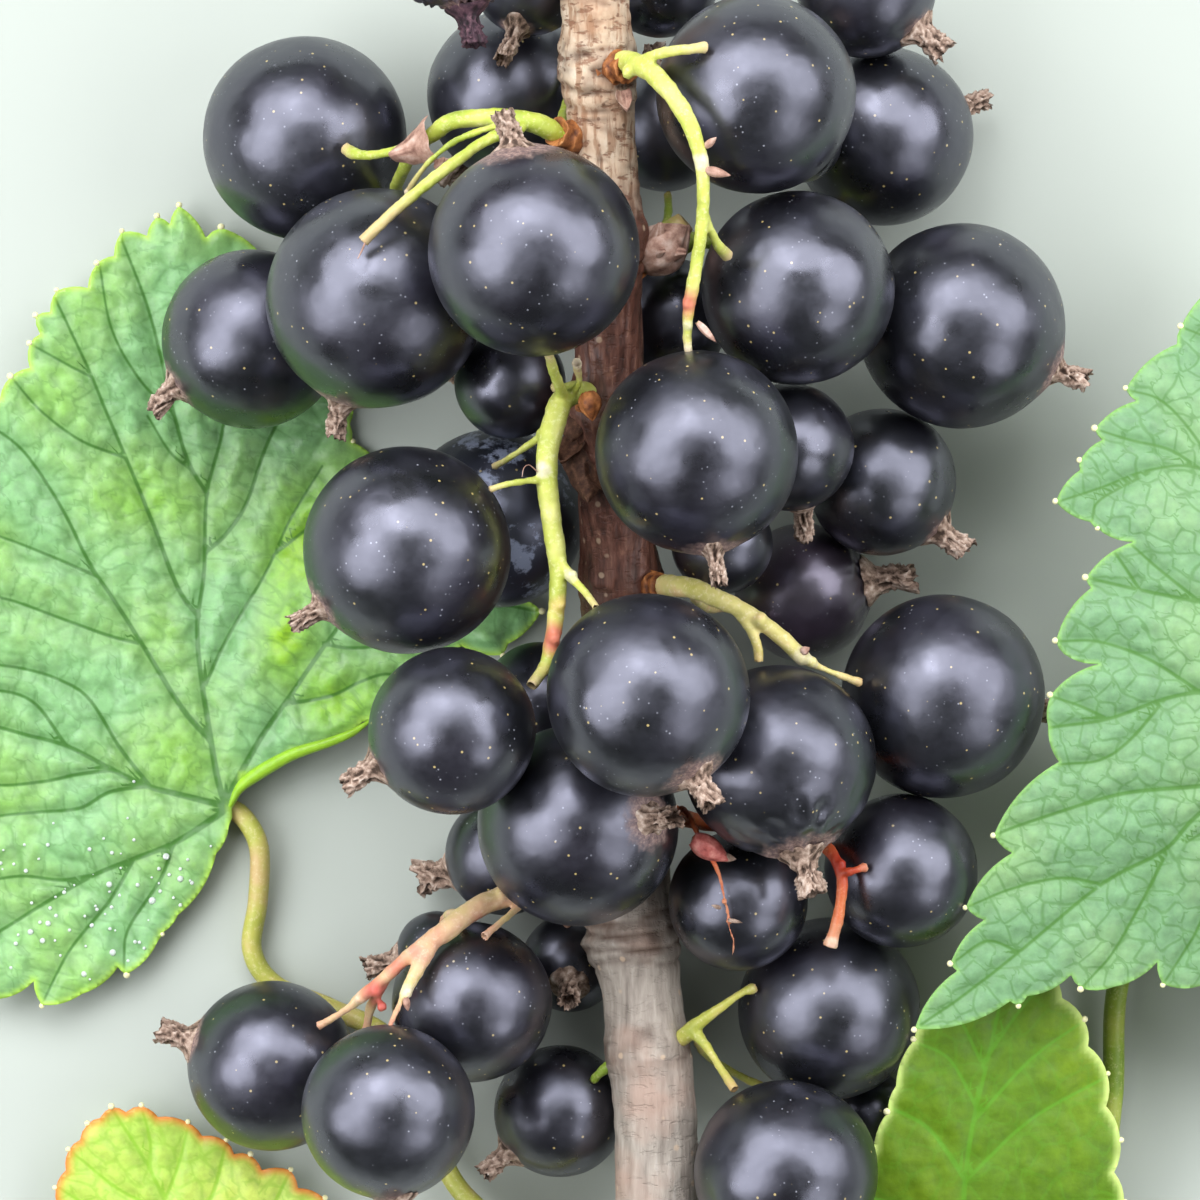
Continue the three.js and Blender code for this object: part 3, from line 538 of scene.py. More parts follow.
berry = {
    "sides": 76,
    "rows": 46,
    "rowPull": 0.5,  # below 1 the rows gather at the flower end
    "lump": 0.012,  # share of the radius by which a fruit is out of round
    "flowerReach": 4,  # how near the flower's tip the frame's corners may be part of the flower
    "collarReach": 0.24,  # radians from the flower where the skin rises to it
    "collarRise": 0.035,
    "dryReach": 0.44,  # radians from the flower where the skin dries
    "shrivelReach": 0.85,
    "puckers": 13,  # folds round the flower
    "puckerReach": 0.4,
    "puckerDepth": 0.006,
}
dryFlower = {
    "around": 40,
    "along": 30,
    "length": 2.3,
    "width": 1.7,
    "neck": 0.66,
    "skirt": 0.85,  # how far the foot spreads over the fruit, in widths
    "skirtReach": 0.16,  # share of its length where the skirt ends
    "crumple": 0.3,
    "sunk": 0.1,  # how far it starts inside the fruit
    "sepals": 5,
    "mouth": 0.74,  # share of the skin's rows outside the tube; the rest lines its inside
    "lean": 1.8,
}
# fruit that differ from a sound ripe one
oddBerries = {
    "berry_middle_left_1": {"skin": "browned", "flower": 1.05},
    "berry_middle_left_3": {"skin": "waxy"},
    "berry_middle_right_3": {"skin": "purple", "shrivel": 0.05, "flower": 1.25},
    "berry_middle_right_2": {"skin": "browned", "shrivel": 0.06, "flower": 1.2},
    "berry_top_left_1": {"skin": "purple", "shrivel": 0.14, "dryFinish": darkFlowerFinish},
    "berry_middle_left_4": {"flower": 1.1},
    "berry_middle_right_1": {"flower": 1.2},
    "berry_lower_left_5": {"flower": 1.2},
}


def fitBerry(node):
    # centre, radius and flower direction of a frame berry: its corners crowd round the flower, so
    # the half that is far from their mean lies on the fruit, and the flower's tip stands proud of it
    points = np.array([vert.co[:] for vert in node.data.vertices]) / metre
    away = np.linalg.norm(points - points.mean(0), axis=1)
    ball = points[away >= np.median(away)]
    for attempt in range(2):
        solved = np.linalg.lstsq(np.c_[2 * ball, np.ones(len(ball))], (ball ** 2).sum(1), rcond=None)[0]
        centre = Vector(solved[:3])
        radius = math.sqrt(solved[3] + centre.length_squared)
        tip = points[np.linalg.norm(points - np.array(centre), axis=1).argmax()]
        ball = points[np.linalg.norm(points - tip, axis=1) > berry["flowerReach"]]
    return centre, radius, (Vector(tip) - centre).normalized()


def berrySkinMesh(bm, radius, shrivel, shift):
    crown = bm.verts.layers.float.new("crown")
    bm.verts.layers.float.new("toneAndCreaseShade")
    bmesh.ops.create_uvsphere(bm, u_segments=berry["sides"], v_segments=berry["rows"], radius=1)
    for vert in bm.verts:
        share = math.acos(max(-1.0, min(1.0, vert.co.z))) / math.pi
        fromTip = math.pi * share * (berry["rowPull"] + (1 - berry["rowPull"]) * share)
        around = math.atan2(vert.co.y, vert.co.x)
        out = Vector((math.sin(fromTip) * math.cos(around), math.sin(fromTip) * math.sin(around),
                      math.cos(fromTip)))
        lump = noise.noise(out * 1.3 + shift) + 0.3 * noise.noise(out * 3.5 + shift)
        collar = math.exp(-(fromTip / berry["collarReach"]) ** 2)
        pucker = abs(math.sin(around * berry["puckers"] / 2 + 3 * noise.noise(out * 2 + shift)))
        shrunk = shrivel * math.exp(-(fromTip / berry["shrivelReach"]) ** 2)
        shrunk += berry["puckerDepth"] * math.exp(-(fromTip / berry["puckerReach"]) ** 2)
        creases = abs(noise.noise(out * 4.2 + shift)) * 1.6 + 0.5 * pucker
        size = 1 + berry["lump"] * lump + berry["collarRise"] * collar - shrunk * creases
        vert.co = out * size * radius
        vert[crown] = math.exp(-(fromTip / berry["dryReach"]) ** 2)


def dryFlowerMesh(bm, radius, size, shift):
    # a crushed tube of withered sepals, closed inside, on a skirt that spreads over the fruit
    toneAndCreaseShade = bm.verts.layers.float["toneAndCreaseShade"]
    length = dryFlower["length"] * size
    width = dryFlower["width"] * size / 2
    lean = Vector((noise.noise(shift), noise.noise(shift * 1.7), 0)) * dryFlower["lean"]
    crush = 1 + 0.5 * noise.noise(shift * 0.7)
    mouth, sepals = dryFlower["mouth"], dryFlower["sepals"]
    creases = {}

    def place(turn, height):
        inside = max(0.0, (height - mouth) / (1 - mouth))
        rise = min(1.0, height / mouth)
        angle = math.tau * turn + 0.9 * rise * noise.noise(shift * 2.3)
        ring = Vector((math.cos(angle), math.sin(angle), 0))
        sepal = math.floor(angle / math.tau * sepals + 0.5)
        bend = noise.noise(Vector((sepal % sepals * 3.7, 1.3, 0)) + shift)
        gap = abs(math.sin(sepals / 2 * angle)) ** 0.6
        reach = length * (0.84 + 0.08 * gap + 0.2 * bend) * (rise - 0.7 * inside * rise)
        skirt = dryFlower["skirt"] * math.exp(-(rise / dryFlower["skirtReach"]) ** 2)
        neck = dryFlower["neck"] + 0.5 * (rise * (1 - 0.6 * rise)) + 0.5 * bend * rise ** 3
        crease = noise.noise(Vector((ring.x * 1.7, ring.y * 1.7, rise * 3.4)) + shift)
        crumple = noise.noise(Vector((ring.x * 3.0, ring.y * 3.0, rise * 8.0)) + shift)
        grit = noise.noise(Vector((ring.x * 7, ring.y * 7, rise * 19)) + shift)
        fresh = 1 - 1.6 * abs(crease) - 1.1 * abs(crumple) * min(1, rise * 2) + 0.35 * grit * rise
        across = width * (neck * max(0.22, 0.6 + dryFlower["crumple"] * 1.6 * fresh) + skirt)
        across *= (1 - inside) ** 0.6
        point = Vector((ring.x * across * crush, ring.y * across / crush, 0))
        point += lean * rise ** 2 * length * 0.25
        down = radius - math.sqrt(max(0.0, radius ** 2 - across ** 2)) if rise < 0.3 else 0.0
        point.z = radius - down - dryFlower["sunk"] * (1 - rise) + reach
        point.z += 0.22 * (crumple + 0.5 * grit) * rise
        # painted shade: the deeper the crease, the darker the tissue
        creases[keyOf(point)] = 1.1 * abs(crease) + 0.9 * abs(crumple)
        return point

    faces = wrappedGrid(bm, dryFlower["around"], dryFlower["along"], place)
    for face in faces:
        face.material_index = 1
        for vert in face.verts:
            vert[toneAndCreaseShade] = 0.5 - 1.15 * creases.get(keyOf(vert.co), 0.3)


def makeBerry(name, seed):
    odd = oddBerries.get(name, {})
    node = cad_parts[name]
    centre, radius, tip = fitBerry(node)
    shift = Vector((seed * 7.31, seed * 3.17, seed * 5.73))
    bm = bmesh.new()
    berrySkinMesh(bm, radius, odd.get("shrivel", 0.0), shift)
    dryFlowerMesh(bm, radius, odd.get("flower", 1.0), shift)
    bmesh.ops.rotate(bm, verts=bm.verts, cent=(0, 0, 0), matrix=turnTo(tip, roll=seed * 1.1))
    bmesh.ops.translate(bm, verts=bm.verts, vec=centre)
    materials = [berrySkins[odd.get("skin", "ripe")], odd.get("dryFinish", dryFlowerFinish)]
    finishPiece(bm, name.replace("berry_", "currant_"), materials, name)


berryNames = sorted(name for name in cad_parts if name.startswith("berry_"))
for seed, name in enumerate(berryNames, start=1):
    makeBerry(name, seed)
print("berries made:", len(berryNames))


# fruit stalks: a main stalk from the cane with a short stalk to each berry, as places on the grid
# (across, down, height) with the radius in millimetres

stalkRoutes = {
    "upper_right": [
        [
            (612, 62, 17.8, 0.72), (630, 62, 20.4, 0.72), (648, 70, 22.8, 0.68), (670, 92, 24.8, 0.62),
            (690, 125, 25.8, 0.56), (702, 165, 25.8, 0.49), (703, 210, 25.2, 0.45), (697, 260, 24.5, 0.45),
            (690, 302, 23.8, 0.43), (687, 330, 23.2, 0.35), (689, 356, 22.6, 0.33),
        ],
        [
            (638, 66, 21.6, 0.48), (652, 56, 23.2, 0.4), (672, 51, 24.4, 0.38), (692, 49, 24.7, 0.38),
            (703, 47, 24.5, 0.43), (706, 47, 24.4, 0.46),
        ],
        [
            (703, 212, 25.1, 0.38), (710, 230, 24.3, 0.36), (718, 245, 23.3, 0.38), (725, 253, 22.4, 0.44),
            (728, 256, 22, 0.45),
        ],
    ],
    "upper_left": [
        [
            (580, 138, 17, 0.72), (555, 132, 18, 0.72), (535, 123, 18.8, 0.68), (510, 118, 19, 0.63),
            (480, 118, 19, 0.62), (450, 122, 18.6, 0.6), (430, 136, 18, 0.52), (398, 150, 17, 0.38),
            (371, 155, 16, 0.36), (353, 153, 15, 0.44), (345, 148, 14.4, 0.42),
        ],
        [
            (509, 122, 19.2, 0.34), (483, 130, 20.2, 0.27), (454, 142, 20.3, 0.26), (432, 159, 19.8, 0.24),
            (417, 177, 18.8, 0.25), (409, 190, 17.6, 0.28),
        ],
        [
            (521, 127, 19.4, 0.45), (489, 139, 20.9, 0.42), (451, 165, 22.1, 0.42), (405, 202, 22.8, 0.42),
            (367, 237, 22.7, 0.42), (362, 242, 22.7, 0.43),
        ],
        [
            (428, 138, 17.9, 0.45), (410, 158, 16, 0.45), (398, 182, 13, 0.45), (391, 207, 9.2, 0.42),
            (370, 232, 5.8, 0.38), (350, 262, 5.2, 0.38), (334, 287, 6.4, 0.38),
        ],
        [
            (560, 133, 17.8, 0.51), (563, 116, 14.8, 0.42), (570, 90, 12.7, 0.38), (568, 62, 11.5, 0.38),
            (561, 47, 10.7, 0.38),
        ],
    ],
    "middle_left": [
        [
            (602, 398, 13.6, 0.7), (578, 392, 16.4, 0.78), (562, 401, 18, 0.78), (553, 425, 18.8, 0.78),
            (547, 455, 19.2, 0.74), (548, 490, 19.3, 0.7), (553, 530, 19.2, 0.66), (558, 572, 19, 0.62),
            (556, 610, 18.9, 0.58), (552, 642, 18.9, 0.55), (545, 666, 19.2, 0.47), (531, 687, 20.2, 0.38),
        ],
        [(565, 401, 18, 0.45), (557, 380, 20.2, 0.38), (549, 354, 22.2, 0.36), (549, 342, 22.8, 0.34)],
        [(569, 398, 17.4, 0.38), (579, 382, 19.2, 0.28), (577, 367, 20.4, 0.33), (577, 362, 20.9, 0.42)],
        [(552, 430, 18.9, 0.38), (529, 445, 17.6, 0.29), (506, 460, 16, 0.28), (493, 467, 15, 0.3)],
        [(548, 478, 19.3, 0.34), (520, 482, 20.4, 0.28), (504, 485, 20.9, 0.27), (488, 490, 20.7, 0.32)],
        [(557, 556, 19.1, 0.42), (570, 576, 19.7, 0.38), (585, 592, 20.6, 0.29), (597, 609, 21.9, 0.3)],
        [(582, 393, 15.8, 0.42), (565, 388, 15, 0.38), (552, 388, 14.3, 0.34)],
    ],
    "middle_right": [
        [
            (634, 590, 10.2, 0.7), (662, 586, 12.6, 0.76), (690, 588, 15, 0.7), (715, 597, 16.5, 0.64),
            (745, 612, 17.2, 0.6), (775, 632, 17.2, 0.56), (797, 652, 17, 0.55), (814, 664, 16.7, 0.34),
            (833, 673, 16.2, 0.28), (851, 679, 15.4, 0.31), (861, 683, 14.9, 0.38),
        ],
        [(735, 607, 17.1, 0.45), (750, 628, 17.4, 0.4), (758, 648, 17.4, 0.36), (759, 664, 17.4, 0.38)],
        [(690, 588, 14.8, 0.42), (700, 604, 10.6, 0.38), (712, 609, 6.8, 0.34), (730, 607, 4.2, 0.34)],
    ],
    "lower_left": [
        [
            (620, 915, 7.6, 0.7), (594, 905, 8.4, 0.78), (562, 897, 9, 0.78), (530, 893, 9.8, 0.78),
            (500, 898, 10.8, 0.74), (470, 912, 11.8, 0.74), (440, 935, 12.6, 0.7), (409, 956, 12.8, 0.5),
            (381, 981, 12.2, 0.48), (358, 1000, 11.2, 0.44), (349, 1008, 10.8, 0.31), (326, 1022, 9.6, 0.3),
            (318, 1026, 9.2, 0.36),
        ],
        [(532, 895, 9.9, 0.38), (512, 913, 11.4, 0.3), (495, 927, 12.4, 0.29), (483, 938, 13, 0.36)],
        [
            (436, 937, 12.6, 0.6), (418, 968, 13.2, 0.5), (407, 990, 13.6, 0.42), (400, 1003, 14.2, 0.28),
            (391, 1024, 15.4, 0.28), (389, 1037, 16.2, 0.32),
        ],
        [(385, 980, 12.2, 0.42), (372, 1004, 10.2, 0.38), (366, 1030, 8.4, 0.34)],
        [(545, 895, 9.4, 0.42), (536, 888, 8.2, 0.38), (530, 884, 7.5, 0.38)],
        [(560, 897, 9, 0.42), (563, 912, 7.6, 0.38), (568, 926, 6.2, 0.34)],
        [(510, 896, 10.3, 0.42), (500, 872, 10, 0.38), (502, 850, 10.6, 0.38), (508, 838, 11.4, 0.34)],
        [(466, 915, 11.6, 0.42), (452, 914, 8.6, 0.38), (446, 917, 6, 0.34), (443, 922, 4.9, 0.34)],
    ],
    "lower_right": [
        [
            (664, 1046, 7.8, 0.6), (682, 1038, 8.8, 0.6), (697, 1024, 9.7, 0.52), (719, 1009, 10, 0.38),
            (740, 994, 10, 0.33), (755, 987, 9.6, 0.4),
        ],
        [(693, 1030, 9.4, 0.51), (706, 1046, 10.1, 0.38), (721, 1069, 11, 0.34), (736, 1091, 12, 0.4)],
        [
            (694, 1028, 9.5, 0.42), (706, 1054, 6.4, 0.38), (744, 1078, 3.6, 0.34), (790, 1096, 2.6, 0.34),
            (814, 1105, 2.5, 0.34), (830, 1108, 2.5, 0.34),
        ],
    ],
    "right_back": [
        [
            (622, 243, 15.4, 0.7), (655, 240, 12.6, 0.7), (705, 241, 10, 0.62), (760, 245, 8.6, 0.58),
            (810, 250, 8, 0.55), (845, 259, 8.4, 0.47), (864, 277, 9.6, 0.42),
        ],
        [(808, 250, 8, 0.42), (824, 228, 7.6, 0.42), (836, 209, 7.5, 0.42)],
        [(770, 246, 8.5, 0.42), (776, 226, 9.6, 0.38), (784, 205, 10.9, 0.34), (790, 192, 12, 0.34)],
        [(660, 240, 12.2, 0.42), (668, 215, 9.8, 0.38), (668, 194, 7.4, 0.38)],
        [(698, 241, 10.4, 0.42), (686, 250, 10.4, 0.38), (678, 258, 9.8, 0.38)],
        [(625, 262, 15.4, 0.7), (642, 256, 14.6, 0.86), (664, 240, 14.2, 1.05), (686, 222, 14.4, 0.78)],
    ],
    "right_middle": [
        [
            (628, 436, 12.4, 0.62), (665, 440, 9.8, 0.66), (720, 443, 7.6, 0.58), (770, 441, 6.8, 0.51),
            (803, 437, 6.7, 0.42), (823, 434, 7.2, 0.38),
        ],
        [(718, 443, 7.8, 0.42), (731, 441, 9.6, 0.38), (737, 441, 11.2, 0.38)],
        [(672, 440, 9.5, 0.42), (690, 465, 10.4, 0.38), (706, 484, 11.3, 0.38), (715, 493, 11.8, 0.38)],
    ],
    "top_left": [
        [
            (584, -66, 17.2, 0.62), (560, -82, 16, 0.66), (528, -104, 14.2, 0.62), (488, -132, 13.4, 0.55),
            (456, -166, 15.2, 0.51), (444, -172, 17.6, 0.42), (441, -160, 19.4, 0.42),
        ],
        [(540, -96, 14.9, 0.42), (533, -90, 14.6, 0.38), (531, -83, 14.2, 0.38)],
    ],
    "top_right": [
        [
            (604, -92, 17.8, 0.62), (650, -98, 15.2, 0.66), (705, -94, 12.6, 0.58), (760, -84, 10.8, 0.51),
            (798, -68, 10, 0.47), (812, -56, 9.9, 0.42),
        ],
        [(690, -95, 13.2, 0.42), (680, -88, 11.6, 0.38), (674, -79, 9.8, 0.38)],
    ],
    "left_back": [
        [(612, 650, 8.9, 0.51), (594, 652, 8.4, 0.51), (582, 656, 7.8, 0.47), (573, 664, 7.3, 0.38)],
    ],
    "lower_middle": [
        [
            (640, 803, 7.8, 0.62), (668, 812, 8.6, 0.66), (700, 822, 8, 0.58), (755, 826, 7.4, 0.51),
            (792, 832, 8.8, 0.51), (812, 838, 11.6, 0.46), (829, 850, 14, 0.45), (841, 874, 14.9, 0.42),
            (840, 908, 15, 0.4), (834, 933, 14.9, 0.43), (830, 946, 14.8, 0.54),
        ],
        [(695, 822, 8.2, 0.42), (712, 826, 9.6, 0.38), (722, 829, 10.6, 0.38)],
        [(841, 872, 15, 0.32), (851, 872, 15.4, 0.25), (862, 868, 15.2, 0.3), (866, 867, 15, 0.36)],
        [
            (690, 818, 8.4, 0.3), (681, 809, 12, 0.26), (687, 813, 14.8, 0.24), (697, 832, 16, 0.22),
            (708, 851, 16.6, 0.24), (719, 874, 16.4, 0.2), (724, 896, 16.2, 0.14), (728, 913, 15.9, 0.17),
            (729, 926, 15.6, 0.13), (734, 943, 15, 0.16), (732, 956, 14.4, 0.1),
        ],
    ],
    "lower_back": [
        [(632, 1058, 7.3, 0.51), (610, 1066, 7.6, 0.51), (599, 1074, 7.4, 0.42), (592, 1082, 6.9, 0.38)],
    ],
}
# width of a remeshed cell in millimetres, and the tones
stalkLook = {
    "upper_right": (0.12, "green"),
    "upper_left": (0.12, "lime"),
    "middle_left": (0.12, "green"),
    "middle_right": (0.13, "tan"),
    "lower_left": (0.13, "blush"),
    "lower_right": (0.14, "petiole"),
    "lower_middle": (0.1, "red"),
}
# stalks further back take coarser cells and the darker tones, painted shade
farShadedStalkLook = (0.18, "shade")
stalk = {
    "step": 0.3,
    "ridge": 0.035,  # height of the long ridges, in millimetres
    "kink": 0.06,  # wander of the stalk's own surface
    "thinnest": 0.08,
    "paleReach": 0.12,  # how far past a knuckle its white tissue goes
    "flushReach": 1.25,  # how far red tissue spreads from where it starts
    "hollow": 0.3,  # depth of the cup in a broken end
    "hollowReach": 0.8,  # its width over the width of the stalk
}
# knuckles, where a fruit once hung or a short stalk begins: place, radius, share of white and of red
knuckles = {
    "upper_right": [
        ((-2.65, 28.2, 25.8), 0.56, 1.0, 0.0), ((-3.45, 20.1, 23.8), 0.45, 0.0, 0.9),
        ((-3.45, 18.9, 23.4), 0.36, 0.7, 0.2), ((-3.4, 17.6, 22.9), 0.3, 0.7, 0.0),
        ((-2.7, 25.2, 25.1), 0.5, 0.2, 0.0),
        ((-6.9, 33.7, 21.6), 0.55, 0.3, 0.0),
    ],
    "upper_left": [
        ((-20.2, 29.3, 17.2), 0.46, 0.9, 0.0), ((-19.9, 26.9, 17.4), 0.3, 0.7, 0.2),
        ((-14.0, 31.0, 19.2), 0.64, 0.3, 0.0),
    ],
    "middle_left": [
        ((-11.9, 10.5, 19.6), 0.52, 1.0, 0.0), ((-10.2, 4.3, 19.9), 0.45, 0.8, 0.1),
        ((-12.0, 12.7, 18.4), 0.4, 0.3, 0.0), ((-11.2, 0.6, 19.2), 0.5, 0.0, 1.1),
        ((-11.8, -1.2, 19.4), 0.4, 0.2, 0.5),
        ((-10.9, 2.6, 19.1), 0.5, 0.0, 0.6), ((-12.4, 9.9, 19.9), 0.32, 0.0, 0.3),
        ((-9.9, 16.8, 20.8), 0.38, 0.9, 0.0),
    ],
    "middle_right": [
        ((3.3, -0.4, 17), 0.66, 0.8, 0.2), ((4.0, -0.8, 16.9), 0.4, 0.5, 0.0),
        ((0.9, 1.7, 17.6), 0.6, 0.0, 0.4),
    ],
    "lower_left": [
        ((-20.0, -20.4, 13.8), 0.44, 0.8, 0.3), ((-22.9, -20.9, 11.4), 0.46, 0.5, 0.4),
        ((-21.9, -20.4, 12), 0.5, 0.0, 1.0), ((-14.5, -14.8, 11), 0.7, 0.0, 0.35),
        ((-18.3, -17.2, 12.7), 0.5, 0.0, 0.6), ((-20.6, -18.9, 12.7), 0.4, 0.0, 0.8),
        ((-15.4, -17.1, 12.9), 0.34, 0.5, 0.3), ((-21.6, -21.4, 11.2), 0.4, 0.0, 1.0),
    ],
    "lower_middle": [
        ((5.7, -12.8, 14.8), 0.46, 0.0, 1.0), ((6.2, -13.2, 15.3), 0.32, 0.0, 0.8),
        ((4.6, -11.6, 13), 0.45, 0.0, 1.0), ((-1.2, -14.9, 16.2), 0.2, 0.0, 0.2),
        ((-0.9, -16.1, 15.8), 0.22, 0.0, 0.2), ((5.2, -17.4, 14.9), 0.46, 0.7, 0.0),
    ],
    "lower_right": [((-2.9, -22.9, 9.6), 0.5, 0.2, 0.0), ((0.6, -20.4, 9.8), 0.42, 0.4, 0.0)],
}


# the places of these finishes in a stalk's list, after that of the stalk itself
partFinishes = [bractFinish, budScaleFinish, dryFlowerFinish, huskFinish, fruitletFinish]
bract, budScale, dried, husk, fruitlet = range(1, 6)


def makeStalk(truss, seed):
    voxel, tones = stalkLook.get(truss, farShadedStalkLook)
    routes = [seenAt(route) for route in stalkRoutes[truss]]
    lines = [smoothRoute(route, 0.4) for route in routes]
    marks = knuckles.get(truss, [])
    ends = []
    for line in lines:
        out = Vector(line[-1][:3] - line[-3][:3]).normalized()
        ends.append((Vector(line[-1][:3]), out, line[-1][3]))
    for (x, y, z), radius, white, red in marks:
        routes.append([(x - 0.12, y, z, radius), (x, y, z, radius), (x + 0.12, y, z, radius)])
    # remeshing thickens a stalk by half a cell, which is taken off here
    routes = [[(x, y, z, max(stalk["thinnest"], radius - voxel / 2)) for x, y, z, radius in route]
              for route in routes]
    tubes = evaluatedMesh(tubesAlong(routes, stalk["step"], 4))
    mesh = evaluatedMesh(tubes, [
        ("REMESH", {"mode": "VOXEL", "voxel_size": voxel, "use_smooth_shade": True}),
        ("SMOOTH", {"factor": 0.5, "iterations": 5}),
    ])
    bm = bmesh.new()
    bm.from_mesh(mesh)
    layers = floatLayers(bm, ("tip", "joint", "pale", "hollow", "toneAndCreaseShade"))
    # a point knows how far out along its stalk it is
    samples = []
    for number, line in enumerate(lines):
        for i, row in enumerate(line):
            along = i / (len(line) - 1)
            samples.append((Vector(row[:3]), along if number else along ** 6))
    tree = treeOf([point for point, out in samples])
    shift = Vector((seed * 3.3, seed * 9.1, seed * 4.7))
    bm.normal_update()
    moves = []
    for vert in bm.verts:
        vert[layers["tip"]] = samples[tree.find(vert.co)[1]][1]
        for place, radius, white, red in marks:
            apart = (vert.co - Vector(place)).length
            glow = red * math.exp(-(apart / stalk["flushReach"]) ** 2)
            vert[layers["joint"]] = max(vert[layers["joint"]], glow)
            chalk = white * math.exp(-(apart / (radius + stalk["paleReach"])) ** 4)
            vert[layers["pale"]] = max(vert[layers["pale"]], chalk)
        rough = noise.noise(vert.co * 0.9 + shift) * stalk["kink"]
        rough += noise.noise(vert.co * 3.0 + shift) * stalk["ridge"]
        move = vert.normal * rough
        # a broken end is a shallow cup, brown inside
        for point, out, radius in ends:
            apart = vert.co - point
            beyond = apart.dot(out)
            offAxis = (apart - out * beyond).length / radius
            if -0.2 * radius < beyond < radius * 1.5 and offAxis < stalk["hollowReach"]:
                depth = (1 - (offAxis / stalk["hollowReach"]) ** 2) * min(1.0, radius / 0.3)
                move -= out * depth * stalk["hollow"] * 1.6
                vert[layers["hollow"]] = 0.75 * depth
        moves.append((vert, move))
    for vert, move in moves:
        vert.co += move
    dressStalk(bm, truss)
    materials = [stalkFinishes[tones], *partFinishes]
    finishPiece(bm, "stalk_" + truss, materials, "strig_" + truss)


def standUp(bm, faces, at, along, slot):
    # closes a part built on +Z and turns it to point along a direction at a place
    bmesh.ops.holes_fill(bm, edges=[edge for face in faces for edge in face.edges if edge.is_boundary])
    verts = list({vert for face in faces for vert in face.verts})
    bmesh.ops.rotate(bm, verts=verts, cent=(0, 0, 0), matrix=turnTo(along))
    bmesh.ops.translate(bm, verts=verts, vec=at)
    for face in faces:
        face.material_index = slot


def addCollar(bm, at, along, radius, length, ribs, taper=0.2):
    # the ribbed stub of old bud scales round the foot of a stalk, closed at both ends
    toneAndCreaseShade = bm.verts.layers.float["toneAndCreaseShade"]
    shift = Vector(at)
    ribGrooveShade = {}

    def place(turn, height):
        out = min(1.0, height / 0.88)
        inside = max(0.0, (height - 0.88) / 0.12)
        angle = math.tau * turn
        ring = Vector((math.cos(angle), math.sin(angle), 0))
        ragged = noise.noise(ring * 1.6 + shift)
        rib = (out * ribs * 0.999 + 0.35 * ragged) % 1
        across = radius * (1 - taper * out) * (0.8 + 0.26 * rib ** 2 + 0.14 * ragged) * (1 - 0.7 * inside)
        point = ring * across
        point.z = length * (out - 0.15 * inside) + 0.12 * noise.noise(ring * 3 + shift)
        # painted shade: darker where the collar steps in under a rib, lighter towards the rib's outer edge
        ribGrooveShade[keyOf(point)] = 0.5 * rib - 0.3
        return point

    faces = wrappedGrid(bm, 34, 8 * ribs + 4, place)
    for face in faces:
        for vert in face.verts:
            vert[toneAndCreaseShade] = ribGrooveShade.get(keyOf(vert.co), 0.0)
    standUp(bm, faces, at, along, budScale)


def addScale(bm, at, along, facing, length, width, slot, fan, cup, curl=0.3):
    # a small dry bract or bud scale, given a wall: a pointed oval, or with fan a widening papery flap
    toneAndCreaseShade = bm.verts.layers.float["toneAndCreaseShade"]
    along = Vector(along).normalized()
    facing = Vector(facing)
    facing = (facing - along * facing.dot(along)).normalized()
    side = along.cross(facing)
    shift = Vector(at)
    verts = bmesh.ops.create_grid(bm, x_segments=12, y_segments=14, size=0.5)["verts"]
    for vert in verts:
        u, t = vert.co.x * 2, vert.co.y + 0.5
        oval = (math.sin(math.pi * min(1.0, 0.18 + 0.82 * t)) ** 0.7) * (1 - 0.25 * t)
        half = width / 2 * ((1 - fan) * oval + fan * (0.25 + 0.75 * t ** 0.8))
        half *= 1 + 0.35 * noise.noise(Vector((0, t * 3, vert.co.x)) + shift)
        rise = cup * width * u * u + curl * length * t * t
        wave = 0.08 * noise.noise(Vector((u * 1.4, t * 2.2, 0)) + shift)
        wave += 0.05 * noise.noise(Vector((u * 5, t * 1.6, 0)) + shift)
        ragged = 0.1 * length * noise.noise(Vector((u * 2.6, 3, 0)) + shift) * t
        vert.co = Vector(at) + along * (length * t + ragged) + side * u * half + facing * (rise + wave)
        vert[toneAndCreaseShade] = 0.5 * noise.noise(Vector((u * 6, t * 1.2, at[1]))) + 0.15 * t - 0.1
    faces = facesOf(verts)
    made = bmesh.ops.solidify(bm, geom=faces, thickness=0.1)["geom"]
    walls = faces + [g for g in made if isinstance(g, bmesh.types.BMFace)]
    walls = facesOf(vert for face in walls for vert in face.verts)
    bmesh.ops.recalc_face_normals(bm, faces=walls)
    for face in walls:
        face.material_index = slot


def addNub(bm, at, along, length, width, slot, ribs=7):
    # a small dried bud or fruitlet: a ribbed, pinched egg
    toneAndCreaseShade = bm.verts.layers.float["toneAndCreaseShade"]
    shift = Vector(at)

    def place(turn, height):
        angle = math.tau * turn
        ring = Vector((math.cos(angle), math.sin(angle), 0))
        swell = math.sin(math.pi * min(1.0, 0.12 + 0.88 * height)) ** 0.75 * (1 - 0.35 * height)
        rib = 0.12 * abs(math.sin(ribs / 2 * angle)) + 0.2 * noise.noise(ring * 1.4 + shift)
        point = ring * width / 2 * swell * (0.95 + rib)
        point.z = length * (height + 0.06 * noise.noise(ring * 2 + shift * 2))
        return point

    faces = wrappedGrid(bm, 28, 14, place)
    for face in faces:
        for vert in face.verts:
            vert[toneAndCreaseShade] = 0.35 * noise.noise(vert.co * 2.2 + shift)
    standUp(bm, faces, at, along, slot)


